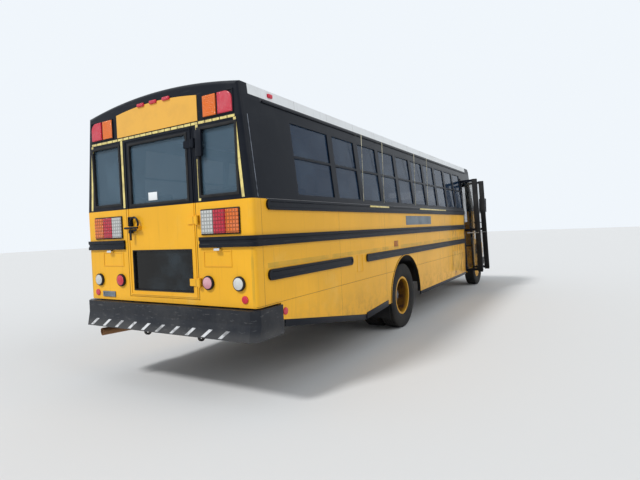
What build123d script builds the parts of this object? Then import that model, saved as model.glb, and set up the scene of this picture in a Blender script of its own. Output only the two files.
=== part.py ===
from build123d import *
from math import atan, cos, radians, sin
import os

# School bus with a bonnet: steel body on a ladder frame, dual rear wheels, hinged doors.
# Millimetres. +X forward, +Y to the driver's side, +Z up. The ground is Z = 0 and the
# origin lies under the middle of the overall length, on the centre plane.

# Driving dimensions, lengthwise
rear_overhang = 3760
wheelbase = 5563
front_overhang = 960
bumper_reach = 90
overall_length = bumper_reach + rear_overhang + wheelbase + front_overhang

# Driving dimensions, across and up
body_width = 2438
half_width = body_width / 2
skirt_z = 484
belt_z = 1915
eave_z = 2835
crown_z = 3078
corner_rise = 2975
tumble = 0.11
roof_corner_radius = 240
wall = 45
end_wall = 60
floor_top = 1060
floor_plate = 30
running_gap = 0.3
door_gap = 5


def along(distance):
    """X of a place that lies this far ahead of the rear wall's outer face."""
    return bumper_reach - overall_length / 2 + distance


def wall_y(height):
    """Half width of the body's outer face at a height."""
    return half_width - tumble * max(0, height - belt_z)


rear_axle_x = along(rear_overhang)
front_axle_x = along(rear_overhang + wheelbase)
nose_x = along(rear_overhang + wheelbase + front_overhang)

# Nose of the body, set from the front axle
cowl_x = rear_overhang + wheelbase - 533
screen_foot_x = cowl_x + 135
screen_foot_z = 1560
screen_head_x = cowl_x - 60
screen_head_z = 2620
screen_thickness = 45
shelf_low = 1500
cap_front_reach = 60
roof_front = cowl_x - 390
hood_gap = 15

# Entrance door, on the right behind the front post
front_post = 200
door_width = 820
door_start = cowl_x - front_post - door_width
door_end = door_start + door_width
door_low = 496
door_high = 2640
leaf_thickness = 35
leaf_bar = 48
leaf_pivot_inset = 22
leaf_pin_radius = 9
leaf_meeting_gap = 12

# Windows: one wide bay at the rear, then equal bays up to the door
first_bay_start = 700
first_pillar = 1580
bay_count = 9
last_pillar_gap = 16
bay_pitch = (door_start - last_pillar_gap - first_pillar) / bay_count
pillar_width = 62
window_low = 1950
window_high = 2745
window_rail_z = 2365
frame_depth = 30
frame_bar = 26
glass_thickness = 6
pane_set_back = 14
bays = [(first_bay_start, first_pillar - first_bay_start)]
bays += [(first_pillar + i * bay_pitch, bay_pitch) for i in range(bay_count)]

# Wheels and axles
tyre_radius = 505
tyre_width = 254
tread_width = 206
bead_radius = 283
rim_lip_radius = 298
rim_width = 196
rim_wall = 14
axle_z = tyre_radius
tyre_outer_y = 1172
front_wheel_y = 1035
twin_spacing = 318
rear_outer_y = tyre_outer_y - tyre_width / 2
rear_inner_y = rear_outer_y - twin_spacing
arch_radius = 655
front_arch_radius = 612
arch_liner = 25
hub_radius = 105
kingpin_y = 930
kingpin_radius = 22
steer_limit = 35

# Ladder frame
rail_outer_y = 432
rail_flange = 89
rail_low = 700
rail_high = 967
rail_web = 10
spring_width = 76
spring_y = rail_outer_y - spring_width / 2 - 6

# Ends
rear_wall_low = 930
cap_low = 2665
rear_cap_depth = 300
corner_round = 40
rear_door_half = 516
rear_pivot_y = -rear_door_half - 34
rear_pivot_out = 26
rear_hinges = (1150, 1750, 2480)
hinge_half = 35
hinge_pin_radius = 8
rear_door_low = 985
rear_door_high = cap_low - door_gap
bumper_top = 917
bumper_low = 640
bumper_half_width = 1250
bumper_plate = 10
bumper_wrap = 345
front_bumper_low = 465
front_bumper_top = 655
hood_wall = 20
hood_low = 700
hood_set_back = 33
hood_front_at = rear_overhang + wheelbase + front_overhang - hood_set_back
hood_pivot_at = hood_front_at - 30
hood_pivot_z = 680
hood_pin_radius = 8
hinge_y = 240
stop_hinge = cowl_x - 270
stop_reach = 290
stop_size = 460
stop_low = 1640
stop_high = 1820
stop_lug = 15
stop_out = 52
stop_pin_radius = 6
bearing_gap = 0.05


def label_and_write(piece, name):
    """Give a finished piece its label and write its STEP file."""
    piece.part.label = name
    export_step(piece.part, f"parts/{name}.step")


os.makedirs("parts", exist_ok=True)


# The body's outline seen from behind, and the same outline one wall further in
corner_y = wall_y(corner_rise)
with BuildSketch(Plane.YZ) as outline:
    with BuildLine():
        Polyline(
            (-corner_y, corner_rise),
            (-half_width, belt_z),
            (-half_width, skirt_z),
            (half_width, skirt_z),
            (half_width, belt_z),
            (corner_y, corner_rise),
        )
        ThreePointArc((corner_y, corner_rise), (0, crown_z), (-corner_y, corner_rise))
    make_face()
    fillet(outline.vertices().group_by(Axis.Y)[-2], roof_corner_radius)

with BuildSketch(Plane.YZ) as inner_outline:
    add(outline.sketch_local)
    offset(amount=-wall, mode=Mode.REPLACE)


def body_slice(start, end, low, high, y_from=-2000, y_to=2000, hollow=True):
    """The body shell between two stations and two heights, as a list of builder actions."""
    with BuildPart() as shell:
        with BuildSketch(Plane.YZ.offset(along(start))):
            add(outline.sketch_local)
        extrude(amount=end - start)
        if hollow:
            with BuildSketch(Plane.YZ.offset(along(start))):
                add(inner_outline.sketch_local)
                with Locations((0, skirt_z)):
                    Rectangle(2 * (half_width - wall), 4 * wall)
            extrude(amount=end - start, mode=Mode.SUBTRACT)
        with BuildSketch(Plane.YZ.offset(along(start))):
            with Locations(((y_from + y_to) / 2, (low + high) / 2)):
                Rectangle(y_to - y_from, high - low)
        extrude(amount=end - start, mode=Mode.INTERSECT)
    return shell.part


def side_profile(points, y_from, y_to):
    """A prism across the bus whose (X, Z) outline is given from the rear wall."""
    with BuildPart() as prism:
        with BuildSketch(Plane.XZ.offset(-y_to)):
            with BuildLine():
                Polyline(*[(along(x), z) for x, z in points], close=True)
            make_face()
        extrude(amount=y_to - y_from)
    return prism.part


def block(start, end, y_from, y_to, low, high):
    """A plain box between two stations, two widths and two heights."""
    return side_profile([(start, low), (end, low), (end, high), (start, high)], y_from, y_to)


# Side walls. The lower edge rises behind the rear wheels and the front edge follows the screen.
side_shape = [
    (end_wall, rear_wall_low),
    (bumper_wrap + 12, rear_wall_low),
    (bumper_wrap + 12, 770),
    (2235, 476),
    (2940, 476),
    (2940, skirt_z),
    (cowl_x, skirt_z),
    (cowl_x, 1380),
    (screen_foot_x, shelf_low),
    (screen_foot_x, screen_foot_z),
    (screen_head_x, screen_head_z),
    (screen_head_x, eave_z),
    (end_wall, eave_z),
]


def wall_windows(side, places):
    """Boxes that cut the side windows, one for each (start, length)."""
    return [
        block(
            start + pillar_width / 2,
            start + length - pillar_width / 2,
            min(side * 900, side * 1400),
            max(side * 900, side * 1400),
            window_low,
            window_high,
        )
        for start, length in places
    ]


driver_bay = (door_start + 40, 800)

# Pivot lines of the entrance door's leaves: they lean in from the skirt to the door's header
door_slope = (half_width - wall_y(door_high)) / (door_high - skirt_z)
door_lean = atan(door_slope)
pivot_places = (door_start + leaf_pivot_inset, door_end - leaf_pivot_inset)
pivot_foot_y = -half_width + (door_low - skirt_z) * door_slope
leaf_height = (door_high - 15 - door_low) / cos(door_lean)


def door_pin(place, radius, extra):
    """A round bar on a leaf's pivot line, longer than the leaf by this much at each end."""
    foot = Plane(
        origin=(along(place), pivot_foot_y - extra * sin(door_lean), door_low - extra * cos(door_lean)),
        x_dir=(1, 0, 0),
        z_dir=(0, sin(door_lean), cos(door_lean)),
    )
    with BuildPart() as bar:
        with BuildSketch(foot):
            Circle(radius)
        extrude(amount=leaf_height + 2 * extra)
    return bar.part


with BuildPart() as wall_blank:
    add(body_slice(end_wall, screen_foot_x, 400, eave_z))
    add(side_profile(side_shape, -1500, 1500), mode=Mode.INTERSECT)
    with BuildSketch(Plane.XZ.offset(-1500)):
        with Locations((rear_axle_x, axle_z - 10)):
            Circle(arch_radius)
    extrude(amount=3000, mode=Mode.SUBTRACT)

with BuildPart() as side_wall_right:
    add(wall_blank.part)
    add(block(-100, 11000, 0, 1500, 0, 4000), mode=Mode.SUBTRACT)
    for cut in wall_windows(-1, bays):
        add(cut, mode=Mode.SUBTRACT)
    add(block(door_start, door_end, -1500, 0, 400, door_high), mode=Mode.SUBTRACT)
    for place in pivot_places:
        add(block(place - 16, place + 16, -wall_y(door_high) - 16, -wall_y(door_high) + 30, door_high,
                  door_high + 22))
        add(door_pin(place, leaf_pin_radius + bearing_gap, 60), mode=Mode.SUBTRACT)
label_and_write(side_wall_right, "side_wall_right")

with BuildPart() as side_wall_left:
    add(wall_blank.part)
    add(block(-100, 11000, -1500, 0, 0, 4000), mode=Mode.SUBTRACT)
    for cut in wall_windows(1, bays + [driver_bay]):
        add(cut, mode=Mode.SUBTRACT)
    # Bracket and pin of the stop arm, under the driver's window
    add(block(stop_hinge - 90, stop_hinge + 40, half_width - 1, half_width + 14, stop_low, stop_high))
    for low in (stop_low, stop_high - stop_lug):
        add(block(stop_hinge - 14, stop_hinge + 14, half_width, half_width + stop_out + 14, low,
                  low + stop_lug))
    with BuildSketch(Plane.XY.offset(stop_low)):
        with Locations((along(stop_hinge), half_width + stop_out)):
            Circle(stop_pin_radius)
    extrude(amount=stop_high - stop_low)
label_and_write(side_wall_left, "side_wall_left")

# Stop arm: an eight-sided plate folded back along the wall
with BuildPart() as stop_arm:
    plate_y = half_width + stop_out
    with BuildSketch(Plane.XZ.offset(-plate_y - 6)):
        with Locations((along(stop_hinge - stop_reach), (stop_low + stop_high) / 2)):
            RegularPolygon(stop_size / 2, 8, major_radius=False, rotation=22.5)
        with Locations((along(stop_hinge - stop_reach / 2), (stop_low + stop_high) / 2)):
            Rectangle(stop_reach, stop_high - stop_low - 2 * stop_lug - 2)
    extrude(amount=12)
    with BuildSketch(Plane.XY.offset(stop_low + stop_lug + 1)):
        with Locations((along(stop_hinge), plate_y)):
            Circle(12)
    extrude(amount=stop_high - stop_low - 2 * stop_lug - 2)
    with BuildSketch(Plane.XY.offset(stop_low)):
        with Locations((along(stop_hinge), plate_y)):
            Circle(stop_pin_radius + bearing_gap)
    extrude(amount=stop_high - stop_low, mode=Mode.SUBTRACT)
label_and_write(stop_arm, "stop_arm")

# Window frames with a middle rail, leaning with the wall, and the panes in them
def leaning_plate(side, start, end, low, high, set_back, thickness):
    """A plate parallel to the side wall above the belt, its outer face set back from the wall's."""
    outer_low = side * (wall_y(low) - set_back)
    outer_high = side * (wall_y(high) - set_back)
    with BuildPart() as plate:
        with BuildSketch(Plane.YZ.offset(along(start))):
            with BuildLine():
                Polyline(
                    (outer_low, low),
                    (outer_high, high),
                    (outer_high - side * thickness, high),
                    (outer_low - side * thickness, low),
                    close=True,
                )
            make_face()
        extrude(amount=end - start)
    return plate.part


# The two lights of a window, under and over its middle rail
window_lights = [
    (window_low + frame_bar, window_rail_z - frame_bar / 2),
    (window_rail_z + frame_bar / 2, window_high - frame_bar),
]


def window_ring(side, start, length):
    """A frame with a middle rail that fills one window's hole."""
    low_x = start + pillar_width / 2
    high_x = start + length - pillar_width / 2
    with BuildPart() as ring:
        add(leaning_plate(side, low_x, high_x, window_low, window_high, 0, frame_depth))
        for low, high in window_lights:
            add(block(low_x + frame_bar, high_x - frame_bar, -1500, 1500, low, high),
                mode=Mode.SUBTRACT)
    return ring.part


def window_pane(side, start, length):
    """The panes of one window, set back from the wall's outer face."""
    low_x = start + pillar_width / 2 + frame_bar
    high_x = start + length - pillar_width / 2 - frame_bar
    return [
        leaning_plate(side, low_x, high_x, low, high, pane_set_back, glass_thickness)
        for low, high in window_lights
    ]


with BuildPart() as window_frames:
    for start, length in bays:
        add(window_ring(-1, start, length))
    for start, length in bays + [driver_bay]:
        add(window_ring(1, start, length))
label_and_write(window_frames, "window_frames")

# Roof panel between the end caps, with two hatch openings and their kerbs
hatch_size = 600
hatch_kerb = 35
hatch_places = (first_pillar + 870, door_start - 1570)
hatch_kerb_top = crown_z + 28
hatch_lip = 16
hatch_cover = 15
hatch_pin_radius = 6
# The lid's pin runs level with the bottom of its lip, in front of it
hatch_pin_x = hatch_size / 2 + door_gap + hatch_cover + 18
hatch_pin_z = hatch_kerb_top - hatch_lip
hatch_bearings = (-120, 100)
bearing_width = 20
bearing_radius = 11


def pin_across(place, height, radius, y_from, y_to):
    """A round bar across the bus at a station and a height."""
    with BuildPart() as bar:
        with BuildSketch(Plane.XZ.offset(-y_to)):
            with Locations((along(place), height)):
                Circle(radius)
        extrude(amount=y_to - y_from)
    return bar.part


with BuildPart() as roof:
    add(body_slice(rear_cap_depth, roof_front, eave_z, 3200))
    for place in hatch_places:
        add(block(place - hatch_size / 2, place + hatch_size / 2, -hatch_size / 2, hatch_size / 2,
                  crown_z - 60, hatch_kerb_top))
        add(
            block(place - hatch_size / 2 + hatch_kerb, place + hatch_size / 2 - hatch_kerb,
                  -hatch_size / 2 + hatch_kerb, hatch_size / 2 - hatch_kerb, 2900, 3300),
            mode=Mode.SUBTRACT,
        )
        for edge in hatch_bearings:
            add(block(place + hatch_pin_x - bearing_radius, place + hatch_pin_x + bearing_radius, edge,
                      edge + bearing_width, crown_z - 10, hatch_pin_z))
            add(pin_across(place + hatch_pin_x, hatch_pin_z, bearing_radius, edge, edge + bearing_width))
            add(pin_across(place + hatch_pin_x, hatch_pin_z, hatch_pin_radius + bearing_gap,
                           edge - 1, edge + bearing_width + 1), mode=Mode.SUBTRACT)
label_and_write(roof, "roof")

# Hatch lids: a pan whose lip drops over the kerb, and a pin carried in front of it by two ears
for name, place in zip(("rear", "front"), hatch_places):
    reach = hatch_size / 2 + door_gap
    with BuildPart() as hatch:
        add(block(place - reach - hatch_cover, place + reach + hatch_cover, -reach - hatch_cover,
                  reach + hatch_cover, hatch_kerb_top - hatch_lip, hatch_kerb_top + door_gap + hatch_cover))
        add(block(place - reach, place + reach, -reach, reach, hatch_kerb_top - hatch_lip - 1,
                  hatch_kerb_top + door_gap), mode=Mode.SUBTRACT)
        add(pin_across(place + hatch_pin_x, hatch_pin_z, hatch_pin_radius, -130, 130))
        for edge in (-90, 60):
            add(block(place + reach + hatch_cover, place + hatch_pin_x, edge, edge + 30,
                      hatch_pin_z - 4, hatch_pin_z + 6))
    label_and_write(hatch, f"hatch_{name}")

# Caps over the rear wall and over the windscreen
front_cap_shape = [
    (roof_front, 2500),
    (screen_head_x, screen_head_z),
    (screen_head_x + cap_front_reach, screen_head_z),
    (screen_head_x + cap_front_reach, 2905),
    (screen_head_x - 40, 3015),
    (screen_head_x - 190, 3200),
    (roof_front, 3200),
]

with BuildPart() as end_caps:
    with BuildPart(mode=Mode.PRIVATE) as rear_cap:
        add(body_slice(0, rear_cap_depth, cap_low, 3200, hollow=False))
        fillet(rear_cap.faces().sort_by(Axis.X)[0].edges().filter_by(
            lambda edge: edge.center().Z > cap_low + 1), corner_round)
        with BuildSketch(Plane.YZ.offset(along(end_wall))):
            add(inner_outline.sketch_local)
        extrude(amount=rear_cap_depth, mode=Mode.SUBTRACT)
        add(block(end_wall, rear_cap_depth + 10, -1500, 1500, 2000, eave_z), mode=Mode.SUBTRACT)
    add(rear_cap.part)
    with BuildPart(mode=Mode.PRIVATE) as front_cap:
        add(body_slice(roof_front, screen_head_x + cap_front_reach, screen_head_z, 3200, hollow=False))
        add(side_profile(front_cap_shape, -1500, 1500), mode=Mode.INTERSECT)
        with BuildPart(mode=Mode.PRIVATE) as cap_room:
            with BuildSketch(Plane.YZ.offset(along(roof_front))):
                add(inner_outline.sketch_local)
            extrude(amount=screen_head_x - roof_front)
            add(side_profile([(x - 40, z - 25) for x, z in front_cap_shape], -1500, 1500),
                mode=Mode.INTERSECT)
        add(cap_room.part, mode=Mode.SUBTRACT)
        add(block(roof_front - 10, screen_head_x, -1500, 1500, 2000, eave_z), mode=Mode.SUBTRACT)
    add(front_cap.part)
label_and_write(end_caps, "end_caps")

# Rear wall with the emergency doorway and two flank windows
flank_window = dict(low=1970, high=2610, inner=590, outer=1060)

with BuildPart() as rear_wall:
    add(body_slice(0, end_wall, rear_wall_low, cap_low, hollow=False))
    fillet(
        rear_wall.edges().filter_by(
            lambda edge: abs(edge.center().X - along(0)) < 1 and abs(edge.center().Y) > 1100
            and edge.bounding_box().size.Z > 100),
        corner_round,
    )
    add(block(-10, end_wall + 10, -rear_door_half - door_gap, rear_door_half + door_gap,
              rear_door_low - door_gap, cap_low), mode=Mode.SUBTRACT)
    for side in (-1, 1):
        edges = sorted((side * flank_window["inner"], side * flank_window["outer"]))
        add(block(-10, end_wall + 10, edges[0], edges[1], flank_window["low"], flank_window["high"]),
            mode=Mode.SUBTRACT)
    # Hinge pins of the emergency door, held by a lug over and under each barrel
    for height in rear_hinges:
        for low in (height - hinge_half - 10, height + hinge_half + 0.5):
            add(block(-rear_pivot_out - 12, 0, rear_pivot_y - 12, rear_pivot_y + 12, low, low + 9.5))
        with BuildSketch(Plane.XY.offset(height - hinge_half - 10)):
            with Locations((along(-rear_pivot_out), rear_pivot_y)):
                Circle(hinge_pin_radius)
        extrude(amount=2 * hinge_half + 20)
label_and_write(rear_wall, "rear_wall")

# Cowl: firewall, shelf and windscreen frame
screen_pane = dict(low=1650, high=2540, inner=32, outer=1035)


def screen_slab(behind, thickness):
    """A slab that leans with the windscreen, its front face this far behind the frame's."""
    return side_profile(
        [
            (screen_foot_x - behind, screen_foot_z),
            (screen_head_x - behind, screen_head_z),
            (screen_head_x - behind - thickness, screen_head_z),
            (screen_foot_x - behind - thickness, screen_foot_z),
        ],
        -1500,
        1500,
    )


inner_half = half_width - wall
with BuildPart() as cowl:
    add(screen_slab(0, screen_thickness))
    with BuildSketch(Plane.YZ.offset(along(roof_front))):
        add(inner_outline.sketch_local)
    extrude(amount=1000, mode=Mode.INTERSECT)
    for side in (-1, 1):
        edges = sorted((side * screen_pane["inner"], side * screen_pane["outer"]))
        add(block(roof_front, screen_foot_x, edges[0], edges[1], screen_pane["low"],
                  screen_pane["high"]), mode=Mode.SUBTRACT)
    add(block(cowl_x - wall, screen_foot_x, -inner_half, inner_half, shelf_low, screen_foot_z))
    add(block(cowl_x - wall, cowl_x, -inner_half, inner_half, floor_top, shelf_low))
label_and_write(cowl, "cowl")

# All fixed glass of the body
with BuildPart() as body_glass:
    for start, length in bays:
        for pane in window_pane(-1, start, length):
            add(pane)
    for start, length in bays + [driver_bay]:
        for pane in window_pane(1, start, length):
            add(pane)
    for side in (-1, 1):
        edges = sorted((side * flank_window["inner"], side * flank_window["outer"]))
        add(block(22, 22 + glass_thickness, edges[0], edges[1], flank_window["low"], flank_window["high"]))
    with BuildPart(mode=Mode.PRIVATE) as screen_glass:
        add(screen_slab(18, glass_thickness))
        with BuildSketch(Plane.YZ.offset(along(roof_front))):
            for side in (-1, 1):
                with Locations((side * (screen_pane["inner"] + screen_pane["outer"]) / 2,
                                (screen_pane["low"] + screen_pane["high"]) / 2)):
                    Rectangle(screen_pane["outer"] - screen_pane["inner"],
                              screen_pane["high"] - screen_pane["low"])
        extrude(amount=800, mode=Mode.INTERSECT)
    add(screen_glass.part)
label_and_write(body_glass, "body_glass")

# Floor with cross bearers, cut for the rear wheels and the entrance
floor_under = floor_top - floor_plate
bearer_width = 60
bearer_start = 420
bearer_count = 12
wheel_box_inner = 585
step_inner_y = -600
step_plate = 20
# Treads: (height, from this half width, to this one)
step_treads = [(520, inner_half, 965), (700, 965, 785), (880, 785, 600)]

with BuildPart() as floor:
    add(block(end_wall, cowl_x, -inner_half, inner_half, floor_under, floor_top))
    for i in range(bearer_count):
        start = bearer_start + i * bay_pitch
        if start < door_start - 150:
            add(block(start, start + bearer_width, -inner_half, inner_half, rail_high, floor_under))
    for side in (-1, 1):
        edges = sorted((side * (wheel_box_inner + arch_liner), side * (inner_half + 1)))
        with BuildSketch(Plane.XZ.offset(-edges[1])):
            with Locations((rear_axle_x, axle_z - 10)):
                Circle(arch_radius)
        extrude(amount=edges[1] - edges[0], mode=Mode.SUBTRACT)
    add(block(door_start, door_end, -inner_half, step_inner_y, rail_high - 50, floor_top + 1),
        mode=Mode.SUBTRACT)
label_and_write(floor, "floor")

# Boxes over the rear wheels, which stand on the floor
with BuildPart() as wheel_boxes:
    for side in (-1, 1):
        edges = sorted((side * wheel_box_inner, side * inner_half))
        with BuildSketch(Plane.XZ.offset(-edges[1])):
            with Locations((rear_axle_x, axle_z - 10)):
                Circle(arch_radius + arch_liner)
            with Locations((rear_axle_x, floor_top - 1000)):
                Rectangle(3 * arch_radius, 2000, mode=Mode.SUBTRACT)
        extrude(amount=edges[1] - edges[0])
        hollow = sorted((side * (wheel_box_inner + arch_liner), side * (inner_half + 1)))
        with BuildSketch(Plane.XZ.offset(-hollow[1])):
            with Locations((rear_axle_x, axle_z - 10)):
                Circle(arch_radius)
        extrude(amount=hollow[1] - hollow[0], mode=Mode.SUBTRACT)
label_and_write(wheel_boxes, "wheel_boxes")

# Entrance steps: treads and risers between two side plates, with the leaves' lower bearings
with BuildPart() as entrance_steps:
    for height, outer, inner in step_treads:
        add(block(door_start, door_end, -outer, -inner, height - step_plate, height))
        add(block(door_start, door_end, -inner, -inner + step_plate, height - step_plate,
                  min(height + 180, floor_under)))
    with BuildSketch(Plane.YZ.offset(along(door_start - step_plate))) as step_side:
        with BuildLine():
            Polyline(
                (-inner_half, step_treads[0][0] - step_plate),
                (-inner_half, floor_under),
                (step_inner_y + step_plate, floor_under),
                (step_inner_y + step_plate, step_treads[2][0] - step_plate),
                (-step_treads[1][2] + step_plate, step_treads[2][0] - step_plate),
                (-step_treads[1][2] + step_plate, step_treads[1][0] - step_plate),
                (-step_treads[0][2] + step_plate, step_treads[1][0] - step_plate),
                (-step_treads[0][2] + step_plate, step_treads[0][0] - step_plate),
                close=True,
            )
        make_face()
    extrude(amount=step_plate)
    with BuildSketch(Plane.YZ.offset(along(door_end))):
        add(step_side.sketch_local)
    extrude(amount=step_plate)
    for place in pivot_places:
        add(block(place - 18, place + 18, -half_width - 16, -inner_half + 60, 462, 480))
        add(block(place - 18, place + 18, -inner_half + 1, -inner_half + 60, 462,
                  step_treads[0][0] - step_plate))
        add(door_pin(place, leaf_pin_radius + bearing_gap, 60), mode=Mode.SUBTRACT)
label_and_write(entrance_steps, "entrance_steps")

# Rub rails, proud of the walls: (height low, height high, start, end)
rail_proud = 22
rail_joint = 1
rub_lines = [
    (1484, 1584, end_wall + rail_joint, door_start - 30),
    (1160, 1262, 172, 1880),
    (1160, 1262, 2287, door_start - 30),
]
# Black strip under the skirt, ahead of the rear wheel
strip_low = 426
strip_thickness = 20

with BuildPart() as rub_rails:
    for low, high, start, end in rub_lines:
        for side in (-1, 1):
            last = cowl_x - 60 if side > 0 and end > 5000 else end
            edges = sorted((side * half_width, side * (half_width + rail_proud)))
            add(block(start, last, edges[0], edges[1], low, high))
    for side in (-1, 1):
        edges = sorted((side * 560, side * (half_width + rail_proud)))
        add(block(-rail_proud, 0, edges[0], edges[1], 1484, 1584))
        corner = sorted((side * half_width, side * (half_width + rail_proud)))
        add(block(-rail_proud, end_wall, corner[0], corner[1], 1484, 1584))
        strip = sorted((side * (half_width - strip_thickness), side * half_width))
        add(block(rear_overhang + arch_radius + 30, door_start - 30, strip[0], strip[1], strip_low,
                  skirt_z))
label_and_write(rub_rails, "rub_rails")

# Rear emergency door, hinged on its right edge, with its glass and its handle guard
rear_lights = [(1950, 2590, 430), (1050, 1470, 440)]

with BuildPart() as rear_door:
    add(block(0, wall, -rear_door_half, rear_door_half, rear_door_low, rear_door_high))
    for low, high, half in rear_lights:
        add(block(-10, wall + 10, -half, half, low, high), mode=Mode.SUBTRACT)
    for height in rear_hinges:
        low, high = height - hinge_half, height + hinge_half
        add(block(-12, 0, -rear_door_half, -rear_door_half + 110, low, high))
        add(block(-rear_pivot_out - 14, -6, rear_pivot_y, -rear_door_half + 1, low, high))
        with BuildSketch(Plane.XY.offset(low)):
            with Locations((along(-rear_pivot_out), rear_pivot_y)):
                Circle(14)
        extrude(amount=2 * hinge_half)
        with BuildSketch(Plane.XY.offset(low)):
            with Locations((along(-rear_pivot_out), rear_pivot_y)):
                Circle(hinge_pin_radius + bearing_gap)
        extrude(amount=2 * hinge_half, mode=Mode.SUBTRACT)
    add(block(-34, 0, 290, 330, 1690, 1730))
    add(block(-46, -34, 290, 480, 1696, 1724))
    add(block(-34, 0, 440, 480, 1690, 1730))
label_and_write(rear_door, "rear_door")

with BuildPart() as rear_door_glass:
    for low, high, half in rear_lights:
        add(block(18, 18 + glass_thickness, -half, half, low, high))
label_and_write(rear_door_glass, "rear_door_glass")

# Rear bumper: a flared channel that wraps round both corners
with BuildPart() as bumpers:
    def bumper_section(grow, height, inset):
        """Plan of the bumper at a height, its back and sides moved out by grow."""
        with BuildSketch(Plane.XY.offset(height)) as plan:
            with BuildLine():
                Polyline(
                    (along(bumper_wrap), -bumper_half_width + inset),
                    (along(-60 - grow + inset + 70), -bumper_half_width + inset),
                    (along(-60 - grow + inset), -bumper_half_width + inset + 70),
                    (along(-60 - grow + inset), bumper_half_width - inset - 70),
                    (along(-60 - grow + inset + 70), bumper_half_width - inset),
                    (along(bumper_wrap), bumper_half_width - inset),
                    close=True,
                )
            make_face()
        return plan.sketch

    def bumper_block(inset, top, low):
        """The bumper's outside, or with an inset its inside."""
        with BuildPart() as shape:
            add(bumper_section(0, bumper_top - 130, inset))
            extrude(amount=top - (bumper_top - 130), dir=(0, 0, 1))
            with BuildPart(mode=Mode.PRIVATE) as flare:
                add(bumper_section(0, bumper_top - 130, inset))
                add(bumper_section(bumper_reach - 60, low, inset))
                loft()
            add(flare.part)
        return shape.part

    add(bumper_block(0, bumper_top, bumper_low))
    add(bumper_block(bumper_plate, bumper_top - bumper_plate, bumper_low), mode=Mode.SUBTRACT)
    add(block(60, bumper_wrap + 1, -half_width + 30, half_width - 30, 500, 1000), mode=Mode.SUBTRACT)
    # Front bumper: a channel with bent ends
    with BuildPart(mode=Mode.PRIVATE) as front_bumper:
        with BuildSketch(Plane.XY.offset(front_bumper_low)):
            with BuildLine():
                Polyline(
                    (nose_x - 190, -1150), (nose_x - 70, -1150), (nose_x, -960), (nose_x, 960),
                    (nose_x - 70, 1150), (nose_x - 190, 1150), (nose_x - 190, 1138),
                    (nose_x - 78, 1138), (nose_x - 12, 956), (nose_x - 12, -956),
                    (nose_x - 78, -1138), (nose_x - 190, -1138),
                    close=True,
                )
            make_face()
        extrude(amount=front_bumper_top - front_bumper_low)
    add(front_bumper.part)
label_and_write(bumpers, "bumpers")

# Ladder frame: two channels with a tow eye each
frame_start = -60 + bumper_plate
frame_end = rear_overhang + wheelbase + front_overhang - 12
horn_start = rear_overhang + wheelbase + 570
horn_top = 650
horn_low = 540
tow_eye_x = 110
tow_eye_y = 392
tow_eye_z = 590
tow_eye_outer = 45
tow_eye_radius = 24
tow_eye_thickness = 20
crossmember_places = (150, 1500, 2500, rear_overhang + 1240, rear_overhang + 2440, cowl_x - 1390)
spring_half = 620
front_spring_half = 500

rail_shape = [
    (frame_start, rail_low), (frame_start, 900), (end_wall + 10, 900), (end_wall + 10, rail_high),
    (horn_start, rail_high), (horn_start + 150, horn_top), (frame_end, horn_top),
    (frame_end, horn_low), (horn_start + 110, horn_low), (horn_start, rail_low),
]


def rail_cut():
    """The channel's hollow: the rail's outline moved in by its flange thickness."""
    return [
        (frame_start - 1, rail_low + rail_web), (frame_start - 1, 900 - rail_web),
        (end_wall + 10 + rail_web, 900 - rail_web), (end_wall + 10 + rail_web, rail_high - rail_web),
        (horn_start - 5, rail_high - rail_web), (horn_start + 145, horn_top - rail_web),
        (frame_end + 1, horn_top - rail_web), (frame_end + 1, horn_low + rail_web),
        (horn_start + 114, horn_low + rail_web), (horn_start + 4, rail_low + rail_web),
    ]


with BuildPart() as frame_rails:
    for side in (-1, 1):
        edges = sorted((side * rail_outer_y, side * (rail_outer_y - rail_flange)))
        add(side_profile(rail_shape, edges[0], edges[1]))
        room = sorted((side * (rail_outer_y - rail_web), side * (rail_outer_y - rail_flange - 1)))
        add(side_profile(rail_cut(), room[0], room[1]), mode=Mode.SUBTRACT)
        # Tow eye: a plate that hangs below the rail's rear end
        eye = sorted((side * tow_eye_y, side * (tow_eye_y + tow_eye_thickness)))
        with BuildSketch(Plane.XZ.offset(-eye[1])):
            with Locations((along(tow_eye_x), tow_eye_z)):
                Circle(tow_eye_outer)
            with Locations((along(tow_eye_x), (tow_eye_z + rail_low) / 2)):
                Rectangle(2 * tow_eye_outer, rail_low - tow_eye_z)
            with Locations((along(tow_eye_x), tow_eye_z)):
                Circle(tow_eye_radius, mode=Mode.SUBTRACT)
        extrude(amount=tow_eye_thickness)
label_and_write(frame_rails, "frame_rails")

# Crossmembers between the channels, the front one with the posts and pins that the hood tilts on
with BuildPart() as crossmembers:
    web = rail_outer_y - rail_web
    for place in crossmember_places:
        add(block(place, place + 90, -web, web, rail_high - 110, rail_high - rail_web))
    add(block(frame_end - 90, frame_end, -web, web, horn_low + rail_web, horn_top - rail_web))
    for side in (-1, 1):
        post = sorted((side * (hinge_y + 35), side * (hinge_y + 50)))
        add(block(hood_pivot_at - 14, hood_pivot_at + 14, post[0], post[1], horn_top - 12, hood_pivot_z))
        with BuildSketch(Plane.XZ.offset(-post[1])):
            with Locations((along(hood_pivot_at), hood_pivot_z)):
                Circle(14)
        extrude(amount=15)
        pin = sorted((side * (hinge_y - 4), side * (hinge_y + 36)))
        with BuildSketch(Plane.XZ.offset(-pin[1])):
            with Locations((along(hood_pivot_at), hood_pivot_z)):
                Circle(hood_pin_radius)
        extrude(amount=40)
label_and_write(crossmembers, "crossmembers")


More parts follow.
